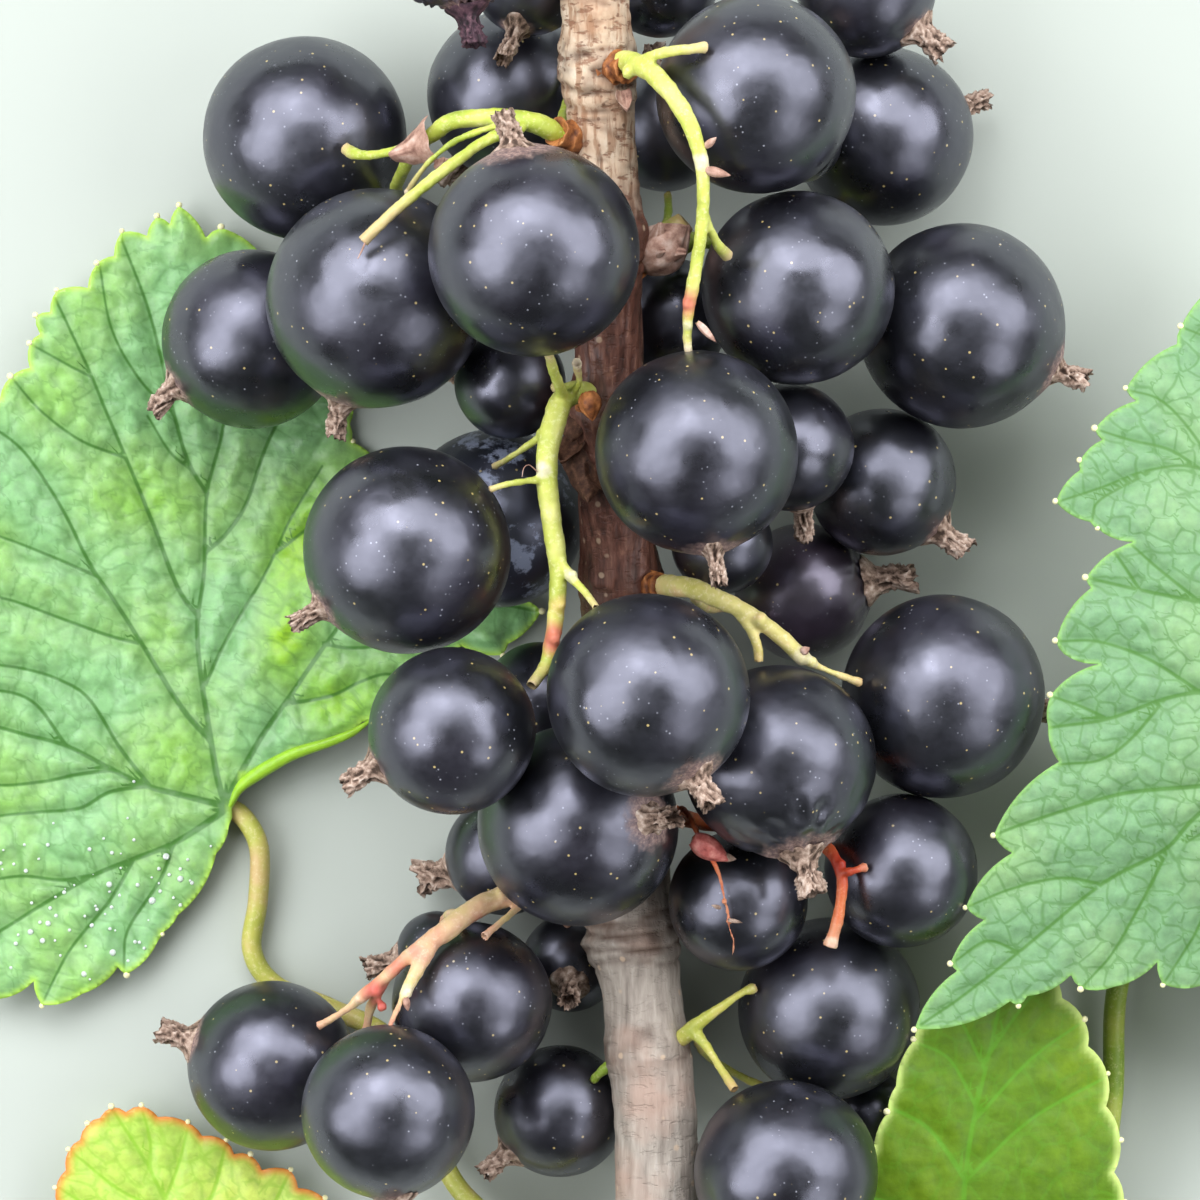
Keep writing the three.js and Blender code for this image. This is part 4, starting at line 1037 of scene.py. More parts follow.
# old bud scales round a stalk's foot: place, direction, radius, length, number of ribs
collars = {
    "upper_right": [((-8.4, 34.3, 17.9), (1, -0.15, 1.3), 1.15, 2.5, 3)],
    "upper_left": [((-9.2, 29.7, 16.6), (-1, 0.35, 1.05), 1.15, 2.9, 3)],
    "middle_left": [((-8.9, 14.6, 13.6), (-0.3, 0.1, 1), 1.0, 2.0, 3)],
    "middle_right": [((-5.8, 3.65, 11.5), (0.57, -0.04, 0.82), 1.05, 1.8, 3)],
    "lower_left": [((-7.2, -16.2, 7.4), (-1, 0.35, 0.6), 1.1, 2.0, 3)],
    "lower_right": [((-4.9, -24.3, 7.4), (1, 0.5, 0.9), 0.9, 1.6, 3)],
    "right_back": [((-7.4, 20.8, 14.6), (0.55, 1, 0.2), 0.85, 3.3, 5)],
    "lower_middle": [((-6.4, -9.3, 7.4), (1, -0.2, 0.5), 0.9, 1.6, 2)],
}
# dried buds and fruitlets: place, direction, length, width, finish
nubs = {
    "upper_right": [
        ((-2.45, 27.7, 26.0), (1, -0.25, 0.2), 1.5, 0.65, bract),
        ((-2.5, 29.0, 26.0), (0.6, 0.5, 0.3), 0.9, 0.5, bract),
        ((-2.9, 19.0, 23.7), (0.7, -0.75, 0), 1.6, 0.5, bract),
    ],
    "upper_left": [((-18.2, 28.2, 18.9), (0.4, 0.5, 0.2), 0.9, 0.6, bract)],
    "middle_left": [((-9.2, 15.1, 19.2), (0.12, -1, 0.1), 1.7, 1.5, budScale)],
    "middle_right": [((3.3, -0.2, 17.4), (0.8, 0.5, 0.3), 0.6, 0.6, bract)],
    "lower_left": [((-20.1, -20.7, 14.2), (0.2, -1, 0.1), 0.8, 0.5, bract)],
    "right_back": [((-6.1, 22.8, 15.0), (1, 0.8, 0.15), 3.6, 3.3, bract)],
    "lower_middle": [
        ((-3.1, -11.2, 16.6), (1, -0.6, 0), 2.5, 1.6, fruitlet),
        ((-1.5, -12.2, 16.5), (1, -0.2, -0.1), 1.0, 0.6, dried),
        ((-1.4, -15.3, 16.1), (-1, 0.3, 0), 0.6, 0.3, dried),
        ((-1.0, -16.0, 15.9), (1, -0.2, 0), 0.9, 0.3, dried),
    ],
}
# bracts and bud scales: place, direction, facing, length, width, finish, fan, cup
scales = {
    "upper_right": [
        ((-7.3, 32.7, 19.9), (0.15, -1, 0.3), (0.2, 0.4, 1), 1.5, 1.1, bract, 0, 0.3),
    ],
    "upper_left": [
        ((-21.0, 29.1, 17.6), (0.95, 0.3, 0.42), (-0.3, 0.1, 1), 3.1, 3.0, bract, 1.0, -0.3),
        ((-17.9, 28.6, 18.6), (0.9, -0.1, 0.3), (-0.2, 0, 1), 1.1, 0.8, bract, 0.4, -0.2),
    ],
    "middle_left": [
        ((-10.2, 14.0, 14.4), (0.1, -1, 0.25), (-0.4, 0.2, 1), 1.8, 1.9, husk, 0, -0.2),
        ((-9.7, 12.9, 13.9), (-0.35, -1, 0.1), (-0.6, 0.1, 1), 2.2, 1.9, husk, 0, 0.25),
        ((-9.9, 12.0, 14.3), (0.25, -1, 0.1), (-0.3, 0.3, 1), 3.4, 2.6, husk, 0, -0.25),
        ((-9.0, 11.2, 14.3), (0.45, -1, 0.1), (0.1, 0.3, 1), 2.6, 1.9, husk, 0, 0.3),
    ],
    "middle_right": [
        ((-5.6, 3.0, 10.6), (0.6, -0.8, 0.5), (0.1, 0.3, 1), 1.5, 1.2, budScale, 0, 0.3),
    ],
    "right_back": [
        ((-6.1, 22.4, 15.6), (0.8, 0.75, 0.5), (0.1, -0.4, 1), 2.1, 1.9, bract, 0, -0.35),
        ((-5.9, 23.6, 16.0), (0.6, 0.9, 0.25), (-0.4, 0.2, 1), 1.9, 1.6, bract, 0, -0.35),
        ((-5.2, 22.6, 15.6), (1, 0.6, 0.3), (0.3, -0.5, 1), 2.0, 1.7, bract, 0, -0.35),
        ((-6.6, 23.3, 15.4), (0.35, 1, 0.3), (-0.6, 0.2, 1), 2.1, 1.1, budScale, 0, -0.2),
    ],
    "lower_left": [
        ((-10.9, -14.9, 9.4), (-0.5, 0.9, 0.3), (0.2, 0.2, 1), 1.4, 1.0, budScale, 0, 0.3),
        ((-9.2, -16.2, 8.6), (-1, -0.1, 0.3), (0, 0.3, 1), 2.0, 0.9, budScale, 0, 0.3),
    ],
}
# hairs and withered threads: points along each, with its radius
threads = {
    "upper_left": [[(-22.2, 23.6, 23.0, 0.06), (-22.4, 23.1, 23.3, 0.05), (-22.6, 22.7, 23.4, 0.03)]],
    "middle_left": [
        [(-12.2, 10.4, 20, 0.04), (-12.7, 10.8, 20.4, 0.03), (-13, 10.6, 20.6, 0.03),
         (-13.1, 10.1, 20.6, 0.02)],
    ],
}


def dressStalk(bm, truss):
    for at, along, radius, length, ribs in collars.get(truss, []):
        addCollar(bm, at, along, radius, length, ribs)
    for at, along, length, width, slot in nubs.get(truss, []):
        addNub(bm, at, along, length, width, slot)
    for at, along, facing, length, width, slot, fan, cup in scales.get(truss, []):
        addScale(bm, at, along, facing, length, width, slot, fan, cup)
    if truss in threads:
        hairs = evaluatedMesh(tubesAlong(threads[truss], 0.2, 1))
        before = len(bm.faces)
        bm.from_mesh(hairs)
        bm.faces.ensure_lookup_table()
        for face in bm.faces[before:]:
            face.material_index = bract
        bmesh.ops.recalc_face_normals(bm, faces=bm.faces[before:])


for seed, truss in enumerate(stalkRoutes, start=1):
    makeStalk(truss, seed)
print("fruit stalks made:", len(stalkRoutes))


# the cane, from its upper cut to its lower one, on the grid with the radius in millimetres

caneRoute = [
    (590, -175, 18.2, 1.95), (592, -60, 18, 1.95), (595, 0, 17.6, 2), (600, 100, 16.8, 1.98),
    (605, 200, 16, 2), (608, 320, 14.6, 2), (611, 450, 12.8, 2.1), (618, 560, 10.6, 2.2),
    (622, 700, 8.6, 2.25), (627, 825, 7.3, 2.3), (634, 920, 7, 2.4), (643, 1000, 7.2, 2.35),
    (655, 1110, 7.5, 2.5), (657, 1200, 7.6, 2.5), (658, 1370, 7.6, 2.6),
]
cane = {
    "around": 84,
    "step": 0.27,
    "swell": [  # bud joints: y, reach along the cane, extra radius
        (34.3, 1.6, 0.55), (24.3, 1.8, 0.6), (14.3, 1.6, 0.5), (3.9, 1.6, 0.5), (-9.8, 1.6, 0.4),
        (-17.4, 1.9, 0.7), (-24.2, 1.5, 0.3), (-38.0, 1.4, 0.4),
    ],
    "scars": [  # ring scars round the cane: y, and depth of the groove
        (33.2, 0.16), (35.2, 0.14), (31.9, 0.07), (23.0, 0.12), (15.2, 0.14), (14.6, 0.1),
        (-16.2, 0.14), (-17.1, 0.16), (-18.1, 0.15), (-19.0, 0.1), (-24.9, 0.03), (-37.4, 0.12),
        (38.3, 0.06),
    ],
    "fibre": 0.1,  # height of the long ridges in the bark
    "cork": 0.12,  # height of the corky patches on the old wood
    "wrinkle": 0.1,  # height of the cross ridges near the tip and at a bud joint
    "jointReach": 1.5,  # reach of the browned, wrinkled bark at a bud joint
    "tip": (14, 8),  # young wood wrinkles from this y, over this length
    "oldAbove": (24, 6),  # corky old wood from this y upwards, over this length
    "oldBelow": (12, 4),  # and from this -y downwards
    "capRows": 5,  # rings of a cut end
}


def rampFrom(value, start, over):
    # from 0 at the start to 1 at its end
    return max(0.0, min(1.0, (value - start) / over))


def makeCane():
    line = smoothRoute(seenAt(caneRoute), cane["step"])
    tangents = np.gradient(line[:, :3], axis=0)
    tangents /= np.linalg.norm(tangents, axis=1)[:, None]
    across = np.cross(tangents, (0, 0, 1))
    across /= np.linalg.norm(across, axis=1)[:, None]
    above = np.cross(across, tangents)
    capRows = cane["capRows"]
    total = len(line) + 2 * capRows
    bm = bmesh.new()
    layers = floatLayers(bm, ("age", "cut", "toneAndCreaseShade"))

    def surface(row, angle):
        # radius of the bark; its painted shade in creases, scar grooves and the valleys between fibres and
        # wrinkles, with the real brown of a bud joint added; and its age
        x, y, z, radius = line[row]
        around = Vector((math.cos(angle), math.sin(angle), 0))
        point = Vector((around.x * 1.6, y * 0.16, around.y * 1.6))
        fibres = noise.noise(point * 3.1) + 0.6 * noise.noise(point * 6.7)
        nearTip = rampFrom(y, *cane["tip"])
        wrinkles = noise.noise(Vector((around.x * 1.5, y * 2.3, around.y * 1.5)))
        joint = max(math.exp(-((y - at) / cane["jointReach"]) ** 2) for at, reach, extra in cane["swell"])
        cork = noise.noise(Vector((around.x * 2.2, y * 0.8, around.y * 2.2)) + Vector((9, 4, 2)))
        old = max(rampFrom(y, *cane["oldAbove"]), rampFrom(-y, *cane["oldBelow"]))
        for at, reach, extra in cane["swell"]:
            lobe = 0.75 + 0.35 * math.cos(angle - 1.3 + at)
            radius += extra * lobe * math.exp(-((y - at) / reach) ** 2)
        # painted shade in the groove of each ring scar
        crease = 0.0
        for at, depth in cane["scars"]:
            wavy = at + 0.25 * math.sin(2 * angle + at)
            wavy += 0.18 * noise.noise(around * 2 + Vector((at, 0, 0)))
            ring = math.exp(-((y - wavy) / 0.16) ** 2)
            lip = math.exp(-((y - wavy - 0.42) / 0.2) ** 2)
            radius += depth * (0.7 * lip - ring)
            crease = max(crease, 0.6 * ring * depth / 0.16)
        radius += cane["fibre"] * fibres * (1 - 0.7 * old) + cane["cork"] * cork * old
        radius += cane["wrinkle"] * (0.7 * nearTip + 1.6 * joint) * wrinkles
        # painted shade in the valleys between fibres and between wrinkles; the joint term adds the real
        # brown of a bud joint
        shade = crease + max(0.0, -fibres - 0.45) * 0.7 * (1 - 0.7 * old * (1 - nearTip))
        shade += max(0.0, -wrinkles - 0.2) * (nearTip + joint) + 0.9 * joint * max(0.0, cork + 0.3)
        return radius, min(0.85, shade), old

    rows = []
    for row in range(total):
        inset = max(capRows - row, row - (total - 1 - capRows), 0)
        rows.append((min(max(row - capRows, 0), len(line) - 1), inset / capRows))

    marks = {}

    def place(turn, height):
        row, inset = rows[round(height * (total - 1))]
        angle = math.tau * turn
        radius, crease, old = surface(row, angle)
        radius *= (1 - inset) if inset else 1
        point = line[row][:3] + radius * (math.cos(angle) * across[row] + math.sin(angle) * above[row])
        marks[tuple(np.round(point, 3))] = (old, 0.5 + inset / 2 if inset else 0.0, crease)
        return Vector(point)

    wrappedGrid(bm, cane["around"], total - 1, place)
    tree = treeOf(marks)
    values = list(marks.values())
    for vert in bm.verts:
        for layer, value in zip(layers.values(), values[tree.find(vert.co)[1]]):
            vert[layer] = value
    finishPiece(bm, "woody_cane", [caneFinish], "cane")


makeCane()
print("cane made")


# leaves. Each edge is a path over the grid, with * where a tooth ends in a gland; then the heights
# that the blade passes through, its veins from the hub outwards (the thick ones first), the part of
# the edge that has rolled over, and the leaf stalk down to the cane

leaves = {
    "left": {
        "step": 0.26,
        "thickVeins": 8,
        "netGap": 1.3,
        "netLadder": 0.5,
        "pad": 0.13,
        "field": 0.5,
        "groove": 0.16,
        "ripple": 0.24,
        "warmth": 0.02,
        "padWarmthAndHighlight": 0.1,
        "rimWidth": 0.25,
        "stalkRadius": 0.62,
        "stalkTones": "petiole",
        "dew": {"count": 95, "at": (-39, -16), "spread": (5, 2.8), "radius": (0.07, 0.14),
                "smallShare": 0.85, "extra": 0.1, "squash": 0.7, "clearOfEdge": 0.3},
        "warmSpots": [(-27, 7, 2.4, 0.5), (-27.8, 4, 2.6, 0.6), (-28.3, 0.5, 2.2, 0.4),
                      (-24.5, -3.6, 2.6, 0.5), (-42, 8, 6, 0.1), (-31.6, 1.5, 2.6, -0.35),
                      (-43, -12, 5, 0.1)],
        "hub": "226,810",
        "margin": """
            232,808 243,776 292,752 351,733* 362,722 404,700* 412,686 452,652* 462,646 502,655*
            508,644 541,611* 524,600 523,566* 500,556 480,530* 462,528 440,502* 420,496 398,470*
            380,466 352,442* 350,424 352,396* 338,380 342,345* 324,332 318,297* 300,290 281,252*
            264,258 221,228* 206,238 179,206* 170,224 157,217* 147,236 122,232* 114,256 97,264*
            88,288 57,291* 50,312 36,316* 40,334 30,344* 30,368 11,377* 0,398 -16,420* -24,442
            -42,472* -44,498 -60,520* -60,548 -78,582* -70,610 -82,644* -66,672 -72,704* -54,728
            -60,762* -42,786 -42,822* -28,846 -30,884* -22,904 -30,940* -18,956 -18,992* 0,999
            34,981 42,1005* 82,994 118,967 127,974* 158,941 162,933* 178,915 216,854 229,826""",
        "heights": [
            (225, 812, 2.0), (260, 640, 0.6), (252, 339, 0.2), (122, 232, 2.4), (221, 228, 1.2),
            (30, 343, 3.2), (-70, 560, 4.6), (60, 560, 1.6), (150, 500, 0.3), (-30, 820, 3.6),
            (90, 800, 0.8), (60, 990, 2.6), (150, 930, 1.2), (300, 745, 3.6), (360, 640, 0.8),
            (420, 690, 3.2), (480, 560, 0.35), (530, 620, 1.2), (380, 470, 0.4), (330, 330, 0.3),
        ],
        "veins": [
            "226,806 217,776 209,728 203,690 198,648 198,616 204,572 207,494 222,433 236,340 240,262",
            "198,616 178,588 155,529 132,472 106,411 92,377 75,340 56,300",
            "226,806 177,794 147,786 113,770 67,746 27,735 -20,722 -66,708",
            "226,808 214,818 174,843 134,859 94,875 50,900 10,925 -24,945",
            "227,806 234,786 262,736 290,696 326,644 352,612 380,598 440,594 500,604 536,611",
            "207,494 188,461 174,414 150,315 122,240",
            "206,552 226,534 246,504 268,442 300,380 318,320",
            "210,740 182,708 142,644 114,600 90,564 60,505 24,452 -10,425",
            "286,704 330,696 360,682 386,674 410,680",
            "203,690 222,648 242,612 266,572 290,520 320,470",
            "326,644 350,648 400,646 450,652",
            "396,596 430,560 470,532",
            "366,602 376,560 392,520 400,476",
            "276,553 320,520 360,500 376,466",
            "174,843 160,880 128,930 124,968",
            "134,859 110,900 70,950 44,1000",
            "94,875 60,880 20,876 -26,884",
            "147,786 110,792 80,808 40,812 0,816 -40,826",
            "150,786 120,748 90,700 60,680 20,668 -40,660 -76,648",
            "113,770 80,774 40,782 -10,784 -56,764",
            "142,644 110,636 60,618 10,600 -40,590 -74,584",
            "98,577 60,560 10,540 -30,528 -56,522",
            "92,377 70,366 34,346",
            "126,458 80,440 40,410 14,380",
            "174,414 140,380 112,330 100,268",
            "224,425 250,390 270,340 280,256",
            "192,470 170,452 150,420",
            "67,746 30,700 -20,690 -70,700",
        ],
        "roll": [
            (230, 806, 2.7, 0.12), (239, 789, 2.9, 0.3), (254, 776, 3.2, 0.42), (291, 755, 3.6, 0.38),
            (327, 743, 3.7, 0.3), (352, 733, 3.7, 0.24), (370, 721, 3.6, 0.1),
        ],
        "petiole": [
            (226, 806, 1.2), (244, 818, 1.2), (259, 848, 1.5), (258, 900, 1.2), (252, 950, 1.1),
            (275, 985, 1.0), (330, 1008, 1.0), (390, 1040, 1.2), (425, 1110, 1.4), (460, 1190, 2.2),
            (540, 1248, 4.0), (636, 1268, 6.4),
        ],
    },
    "right": {
        "step": 0.26,
        "thickVeins": 8,
        "netGap": 1.4,
        "pad": 0.15,
        "field": 0.42,
        "groove": 0.18,
        "ripple": 0.16,
        "warmth": 0,
        "padWarmthAndHighlight": 0.15,
        "rimWidth": 0.14,
        "stalkRadius": 0.66,
        "stalkTones": "shade",
        "hub": "1370,690",
        "margin": """
            1348,672 1392,612* 1384,592 1412,520* 1398,500 1420,440* 1404,424 1404,372* 1386,362
            1370,312* 1354,306 1338,262* 1320,268 1292,244* 1276,262 1238,258* 1228,278 1181,327*
            1177,344 1126,389* 1136,401 1095,429* 1102,440 1080,461* 1080,470 1056,502* 1090,522
            1098,529* 1133,542 1086,578* 1091,588 1056,641* 1064,654 1099,664 1051,695* 1048,726
            1059,762 994,835* 1012,853 966,907* 984,920 951,963* 957,971 915,1029* 1010,1001
            1019,1005* 1027,996 1071,975 1081,988* 1113,987 1157,962 1163,984* 1200,986 1232,1004*
            1242,996 1284,1052* 1300,1046 1346,1094* 1360,1084 1412,1104* 1420,1088 1464,1066*
            1462,1046 1492,1004* 1486,990 1532,972* 1528,956 1562,912* 1550,900 1556,858* 1542,850
            1534,798* 1518,792 1484,742* 1470,738 1420,712""",
        "heights": [
            (915, 1029, 11.5), (966, 907, 12.9), (994, 834, 13.4), (1051, 695, 14.0),
            (1056, 502, 13.4), (1181, 328, 12.0), (1300, 250, 9.0), (1400, 450, 8.5),
            (1370, 690, 11.6), (1200, 780, 15.4), (1220, 560, 14.8), (1081, 987, 11.6),
            (1163, 983, 11.4), (1290, 1050, 7.8), (1462, 1062, 3.6), (1560, 930, 1.4),
            (1480, 740, 6.4), (1400, 860, 9.4),
        ],
        "veins": [
            "1370,690 1290,742 1200,813 1164,850 1102,884 1019,952 960,998 917,1027",
            "1370,690 1310,688 1258,688 1200,692 1161,700 1108,719 1054,727",
            "1370,690 1340,640 1310,560 1296,470 1292,380 1292,250",
            "1370,690 1400,640 1404,600",
            "1370,690 1400,760 1430,850 1444,950 1450,1040 1462,1062",
            "1270,758 1236,780 1200,786 1121,794 1041,818 996,834",
            "1340,640 1280,618 1200,602 1140,590 1088,578",
            "1292,380 1320,330 1336,266",
            "1318,590 1260,510 1200,469 1150,470 1100,488 1060,501",
            "1102,884 1062,878 1014,888 971,905",
            "1019,952 987,941 955,961",
            "1164,858 1142,901 1113,952 1084,985",
            "1240,800 1220,870 1200,923 1182,955 1164,982",
            "1200,692 1150,660 1100,642 1060,641",
            "1108,719 1080,706 1053,697",
            "1200,469 1170,450 1130,440 1098,430",
            "1230,490 1190,430 1160,400 1128,390",
            "1292,420 1250,370 1210,340 1184,328",
            "1300,520 1350,480 1390,440 1418,440",
            "1294,440 1340,400 1370,350 1370,314",
            "1292,340 1260,300 1240,260",
            "1400,640 1410,580 1412,524",
            "1292,742 1280,820 1270,900 1250,960 1234,1002",
            "1290,745 1320,840 1320,940 1300,1010 1286,1050",
            "1404,770 1380,860 1370,980 1350,1060 1346,1092",
            "1430,850 1410,940 1404,1020 1412,1100",
            "1430,850 1470,900 1490,950 1492,1000",
            "1410,780 1460,830 1500,880 1532,900 1560,910",
            "1400,755 1450,760 1484,780 1530,798",
            "1444,950 1470,980 1462,1060",
            "1164,700 1130,740 1100,760 1064,764",
            "1200,602 1160,570 1135,548",
            "1140,590 1120,560 1100,532",
            "1260,800 1190,840",
            "1150,472 1100,500 1092,520",
        ],
        "petiole": [
            (1368, 690, 11.6), (1372, 672, 11.4), (1350, 662, 10.2), (1300, 690, 8.2),
            (1230, 752, 5.6), (1160, 860, 3.4), (1118, 985, 2.2), (1112, 1100, 1.8),
            (1092, 1200, 1.8), (1020, 1300, 2.2), (900, 1352, 3.4), (780, 1336, 5.2),
            (676, 1300, 7.2),
        ],
    },
    "young": {
        "step": 0.3,
        "thickVeins": 3,
        "netGap": 1.3,
        "pad": 0.14,
        "field": 0.35,
        "groove": 0.2,
        "ripple": 0.2,
        "warmth": 0.05,
        "padWarmthAndHighlight": 0.15,
        "rimWidth": 0.35,
        "stalkRadius": 0.55,
        "stalkTones": "green",
        "hub": "230,1400",
        "margin": """
            262,1420 286,1404 302,1410* 318,1376 337,1371* 340,1340 354,1327* 344,1302 352,1283*
            338,1262 340,1240* 326,1218 324,1198* 298,1188 290,1170* 262,1170 250,1155* 234,1154
            226,1141* 202,1136 188,1123* 158,1117 142,1106* 126,1112 112,1107* 100,1118 88,1124*
            80,1140 69,1150* 66,1170 56,1188* 60,1212 50,1232* 66,1260 62,1281* 88,1312 91,1331*
            120,1366 130,1381* 162,1398 176,1413* 208,1416""",
        "heights": [
            (230, 1400, 1.6), (200, 1250, 0.5), (330, 1210, 2.2), (290, 1171, 1.8), (225, 1142, 1.6),
            (113, 1110, 3.2), (57, 1187, 3.6), (60, 1290, 3.0), (150, 1390, 1.6), (335, 1370, 2.4),
            (345, 1290, 2.2),
        ],
        "veins": [
            "230,1400 210,1330 180,1240 150,1170 113,1110",
            "180,1240 210,1200 226,1144",
            "206,1310 250,1250 290,1172",
            "198,1290 150,1260 90,1210 60,1188",
            "170,1215 120,1190 72,1152",
            "150,1170 150,1140 142,1108",
            "215,1340 280,1310 338,1300 352,1284",
            "218,1350 160,1340 100,1330 66,1282",
            "226,1380 270,1380 334,1370",
            "226,1380 180,1380 132,1380",
            "250,1250 290,1230 324,1200",
            "165,1200 180,1160 188,1126",
            "150,1260 110,1260 54,1232",
        ],
        "petiole": [
            (231, 1402, 1.6), (262, 1428, 1.5), (340, 1440, 1.6), (450, 1408, 2.6),
            (550, 1350, 4.6), (636, 1300, 6.6),
        ],
    },
    "lower_right": {
        "step": 0.3,
        "thickVeins": 3,
        "netGap": 1.8,
        "pad": 0.05,
        "field": 0.25,
        "groove": 0.12,
        "ripple": 0.15,
        "warmth": 0,
        "padWarmthAndHighlight": 0.1,
        "rimWidth": 0.3,
        "stalkRadius": 0.6,
        "stalkTones": "shade",
        "hub": "950,1330",
        "margin": """
            925,1352 886,1346* 872,1336 857,1316* 856,1290 847,1268* 856,1240 862,1196* 874,1150
            888,1112* 896,1086 914,1040* 924,1020 940,1000* 958,984 975,964* 996,956 1014,944*
            1030,962 1052,974* 1062,998 1084,1020* 1088,1046 1107,1074* 1106,1106 1120,1140*
            1114,1172 1124,1202* 1110,1232 1107,1262* 1088,1286 1072,1311* 1046,1326 1021,1346*
            980,1352""",
        "heights": [
            (950, 1330, 4.9), (880, 1330, 6.2), (856, 1215, 7.6), (884, 1120, 8.6),
            (915, 1040, 9.6), (1012, 945, 8.8), (1105, 1075, 6.4), (1122, 1200, 5.2),
            (1070, 1310, 4.6), (980, 1150, 8.8), (980, 1240, 7.4),
        ],
        "veins": [
            "950,1330 960,1240 970,1140 990,1050 1012,948",
            "966,1180 930,1130 892,1108",
            "960,1240 910,1210 864,1196",
            "978,1110 950,1060 916,1042",
            "985,1070 960,1020 942,1002",
            "966,1180 1030,1120 1104,1078",
            "960,1240 1030,1210 1120,1200",
            "975,1120 1030,1060 1082,1022",
            "955,1280 1010,1270 1104,1262",
            "952,1300 900,1290 850,1268",
            "985,1060 1020,1010 1050,976",
        ],
        "petiole": [
            (951, 1326, 4.5), (920, 1350, 5.4), (870, 1345, 6.6), (810, 1316, 7.6),
            (750, 1290, 8.4), (676, 1264, 8.8),
        ],
    },
}
blade = {
    "reach": 6.0,  # how far each height spreads over the blade
    "thick": 0.26,
    "notch": 0.09,  # bow of the edge between a notch and a gland tip, as a share of its length
    "gland": 0.21,  # radius of a gland tip
    "glandSquash": 0.85,
    "glandOut": 0.06,  # how far it stands off the edge, and below the upper face
    "glandDown": 0.1,
    "stalkSides": 4,
    "edgeStep": 0.45,
    "veinStep": 0.15,
    "veinHalf": 0.05,  # half the width of a vein, and what it gains towards the hub
    "hubHalf": 0.12,
    "hubReach": 16,
    "thinVein": 0.6,  # width of a thin vein over that of a thick one
    "veinTaper": 0.5,
    "ladderGap": 60,  # keeps the ladders of two veins apart
    "padReach": 0.5,  # how far a pad, a field, a groove and the calm edge reach, in millimetres
    "fieldReach": 1.7,
    "grooveReach": 0.18,
    "calmReach": 0.7,
    "ribReach": 0.3,
    "ribDepth": 1.6,  # depth of a rib under its vein, in half widths of the vein
    "netRows": 0.87,
    "netJitter": 0.42,
    "netDrift": 0.3,  # how far the fine net wanders from even cells, in millimetres
}


def bladeOutline(margin):
    # the toothed edge, each stretch between two points bowed a little outwards
    points = [Vector(p) for p in margin]
    area = sum(a.cross(b) for a, b in zip(points, points[1:] + points[:1]))
    outward = 1 if area > 0 else -1
    outline = []
    for a, b in zip(points, points[1:] + points[:1]):
        run = b - a
        count = max(2, round(run.length / blade["edgeStep"]))
        bow = Vector((run.y, -run.x)) * outward * blade["notch"]
        for i in range(count):
            t = i / count
            outline.append(a + run * t + bow * 4 * t * (1 - t))
    return outline


def sliceFaces(bm, faces, axis, cuts):
    # cuts the faces along every plane, halving the list so that each cut meets few of them
    if not cuts or not faces:
        return
    middle = len(cuts) // 2
    geom = set(faces)
    for face in faces:
        geom.update(face.edges)
        geom.update(face.verts)
    made = bmesh.ops.bisect_plane(bm, geom=list(geom), dist=1e-5, plane_co=axis * cuts[middle],
                                  plane_no=axis)["geom"]
    made = [g for g in made if isinstance(g, bmesh.types.BMFace)]
    below = [face for face in made if face.calc_center_median().dot(axis) < cuts[middle]]
    above = [face for face in made if face.calc_center_median().dot(axis) >= cuts[middle]]
    sliceFaces(bm, below, axis, cuts[:middle])
    sliceFaces(bm, above, axis, cuts[middle + 1:])


def bladeHeights(xy, posts):
    gaps = ((xy[:, None, :] - posts[None, :, :2]) ** 2).sum(2)
    weights = np.exp(-gaps / (2 * blade["reach"] ** 2)) + 1e-9
    return (weights * posts[:, 2]).sum(1) / weights.sum(1)


def onBlade(points, posts):
    # where points of the grid meet the blade: the height there and the place settle together
    rows = np.column_stack([points, np.full(len(points), posts[:, 2].mean())])
    for attempt in range(6):
        xy = seenAt(rows)[:, :2]
        rows[:, 2] = bladeHeights(xy, posts)
    return xy


def veinField(xy, leaf, posts):
    # for each place: signed and plain distance to the nearest vein, half that vein's width, and how
    # far out along it, with every vein counted from its own start
    hub = onBlade(pathPoints(leaf["hub"])[0], posts)[0]
    samples, runs, halves, reaches = [], [], [], []
    for number, vein in enumerate(leaf["veins"]):
        thick = number < leaf["thickVeins"]
        line = onBlade(pathPoints(vein)[0], posts)
        line = smoothRoute([(x, y, 0) for x, y in line], blade["veinStep"])
        run = np.gradient(line[:, :2], axis=0)
        run /= np.linalg.norm(run, axis=1)[:, None] + 1e-9
        along = np.linspace(0, 1, len(line))
        fromHub = np.linalg.norm(line[:, :2] - hub, axis=1)
        half = blade["veinHalf"] + blade["hubHalf"] * np.exp(-fromHub / blade["hubReach"])
        half = half * (1 if thick else blade["thinVein"]) * (1 - blade["veinTaper"] * along)
        samples.append(line[:, :2])
        runs.append(run)
        halves.append(half)
        reaches.append(number * blade["ladderGap"] + blade["veinStep"] * np.arange(len(line)))
    samples, runs, halves = np.vstack(samples), np.vstack(runs), np.concatenate(halves)
    reaches = np.concatenate(reaches)
    tree = treeOf(samples)
    found = [tree.find((x, y, 0)) for x, y in xy]
    index = np.array([f[1] for f in found])
    plain = np.array([f[2] for f in found])
    away = xy - samples[index]
    signed = runs[index, 0] * away[:, 1] - runs[index, 1] * away[:, 0]
    return signed, plain, halves[index], reaches[index]


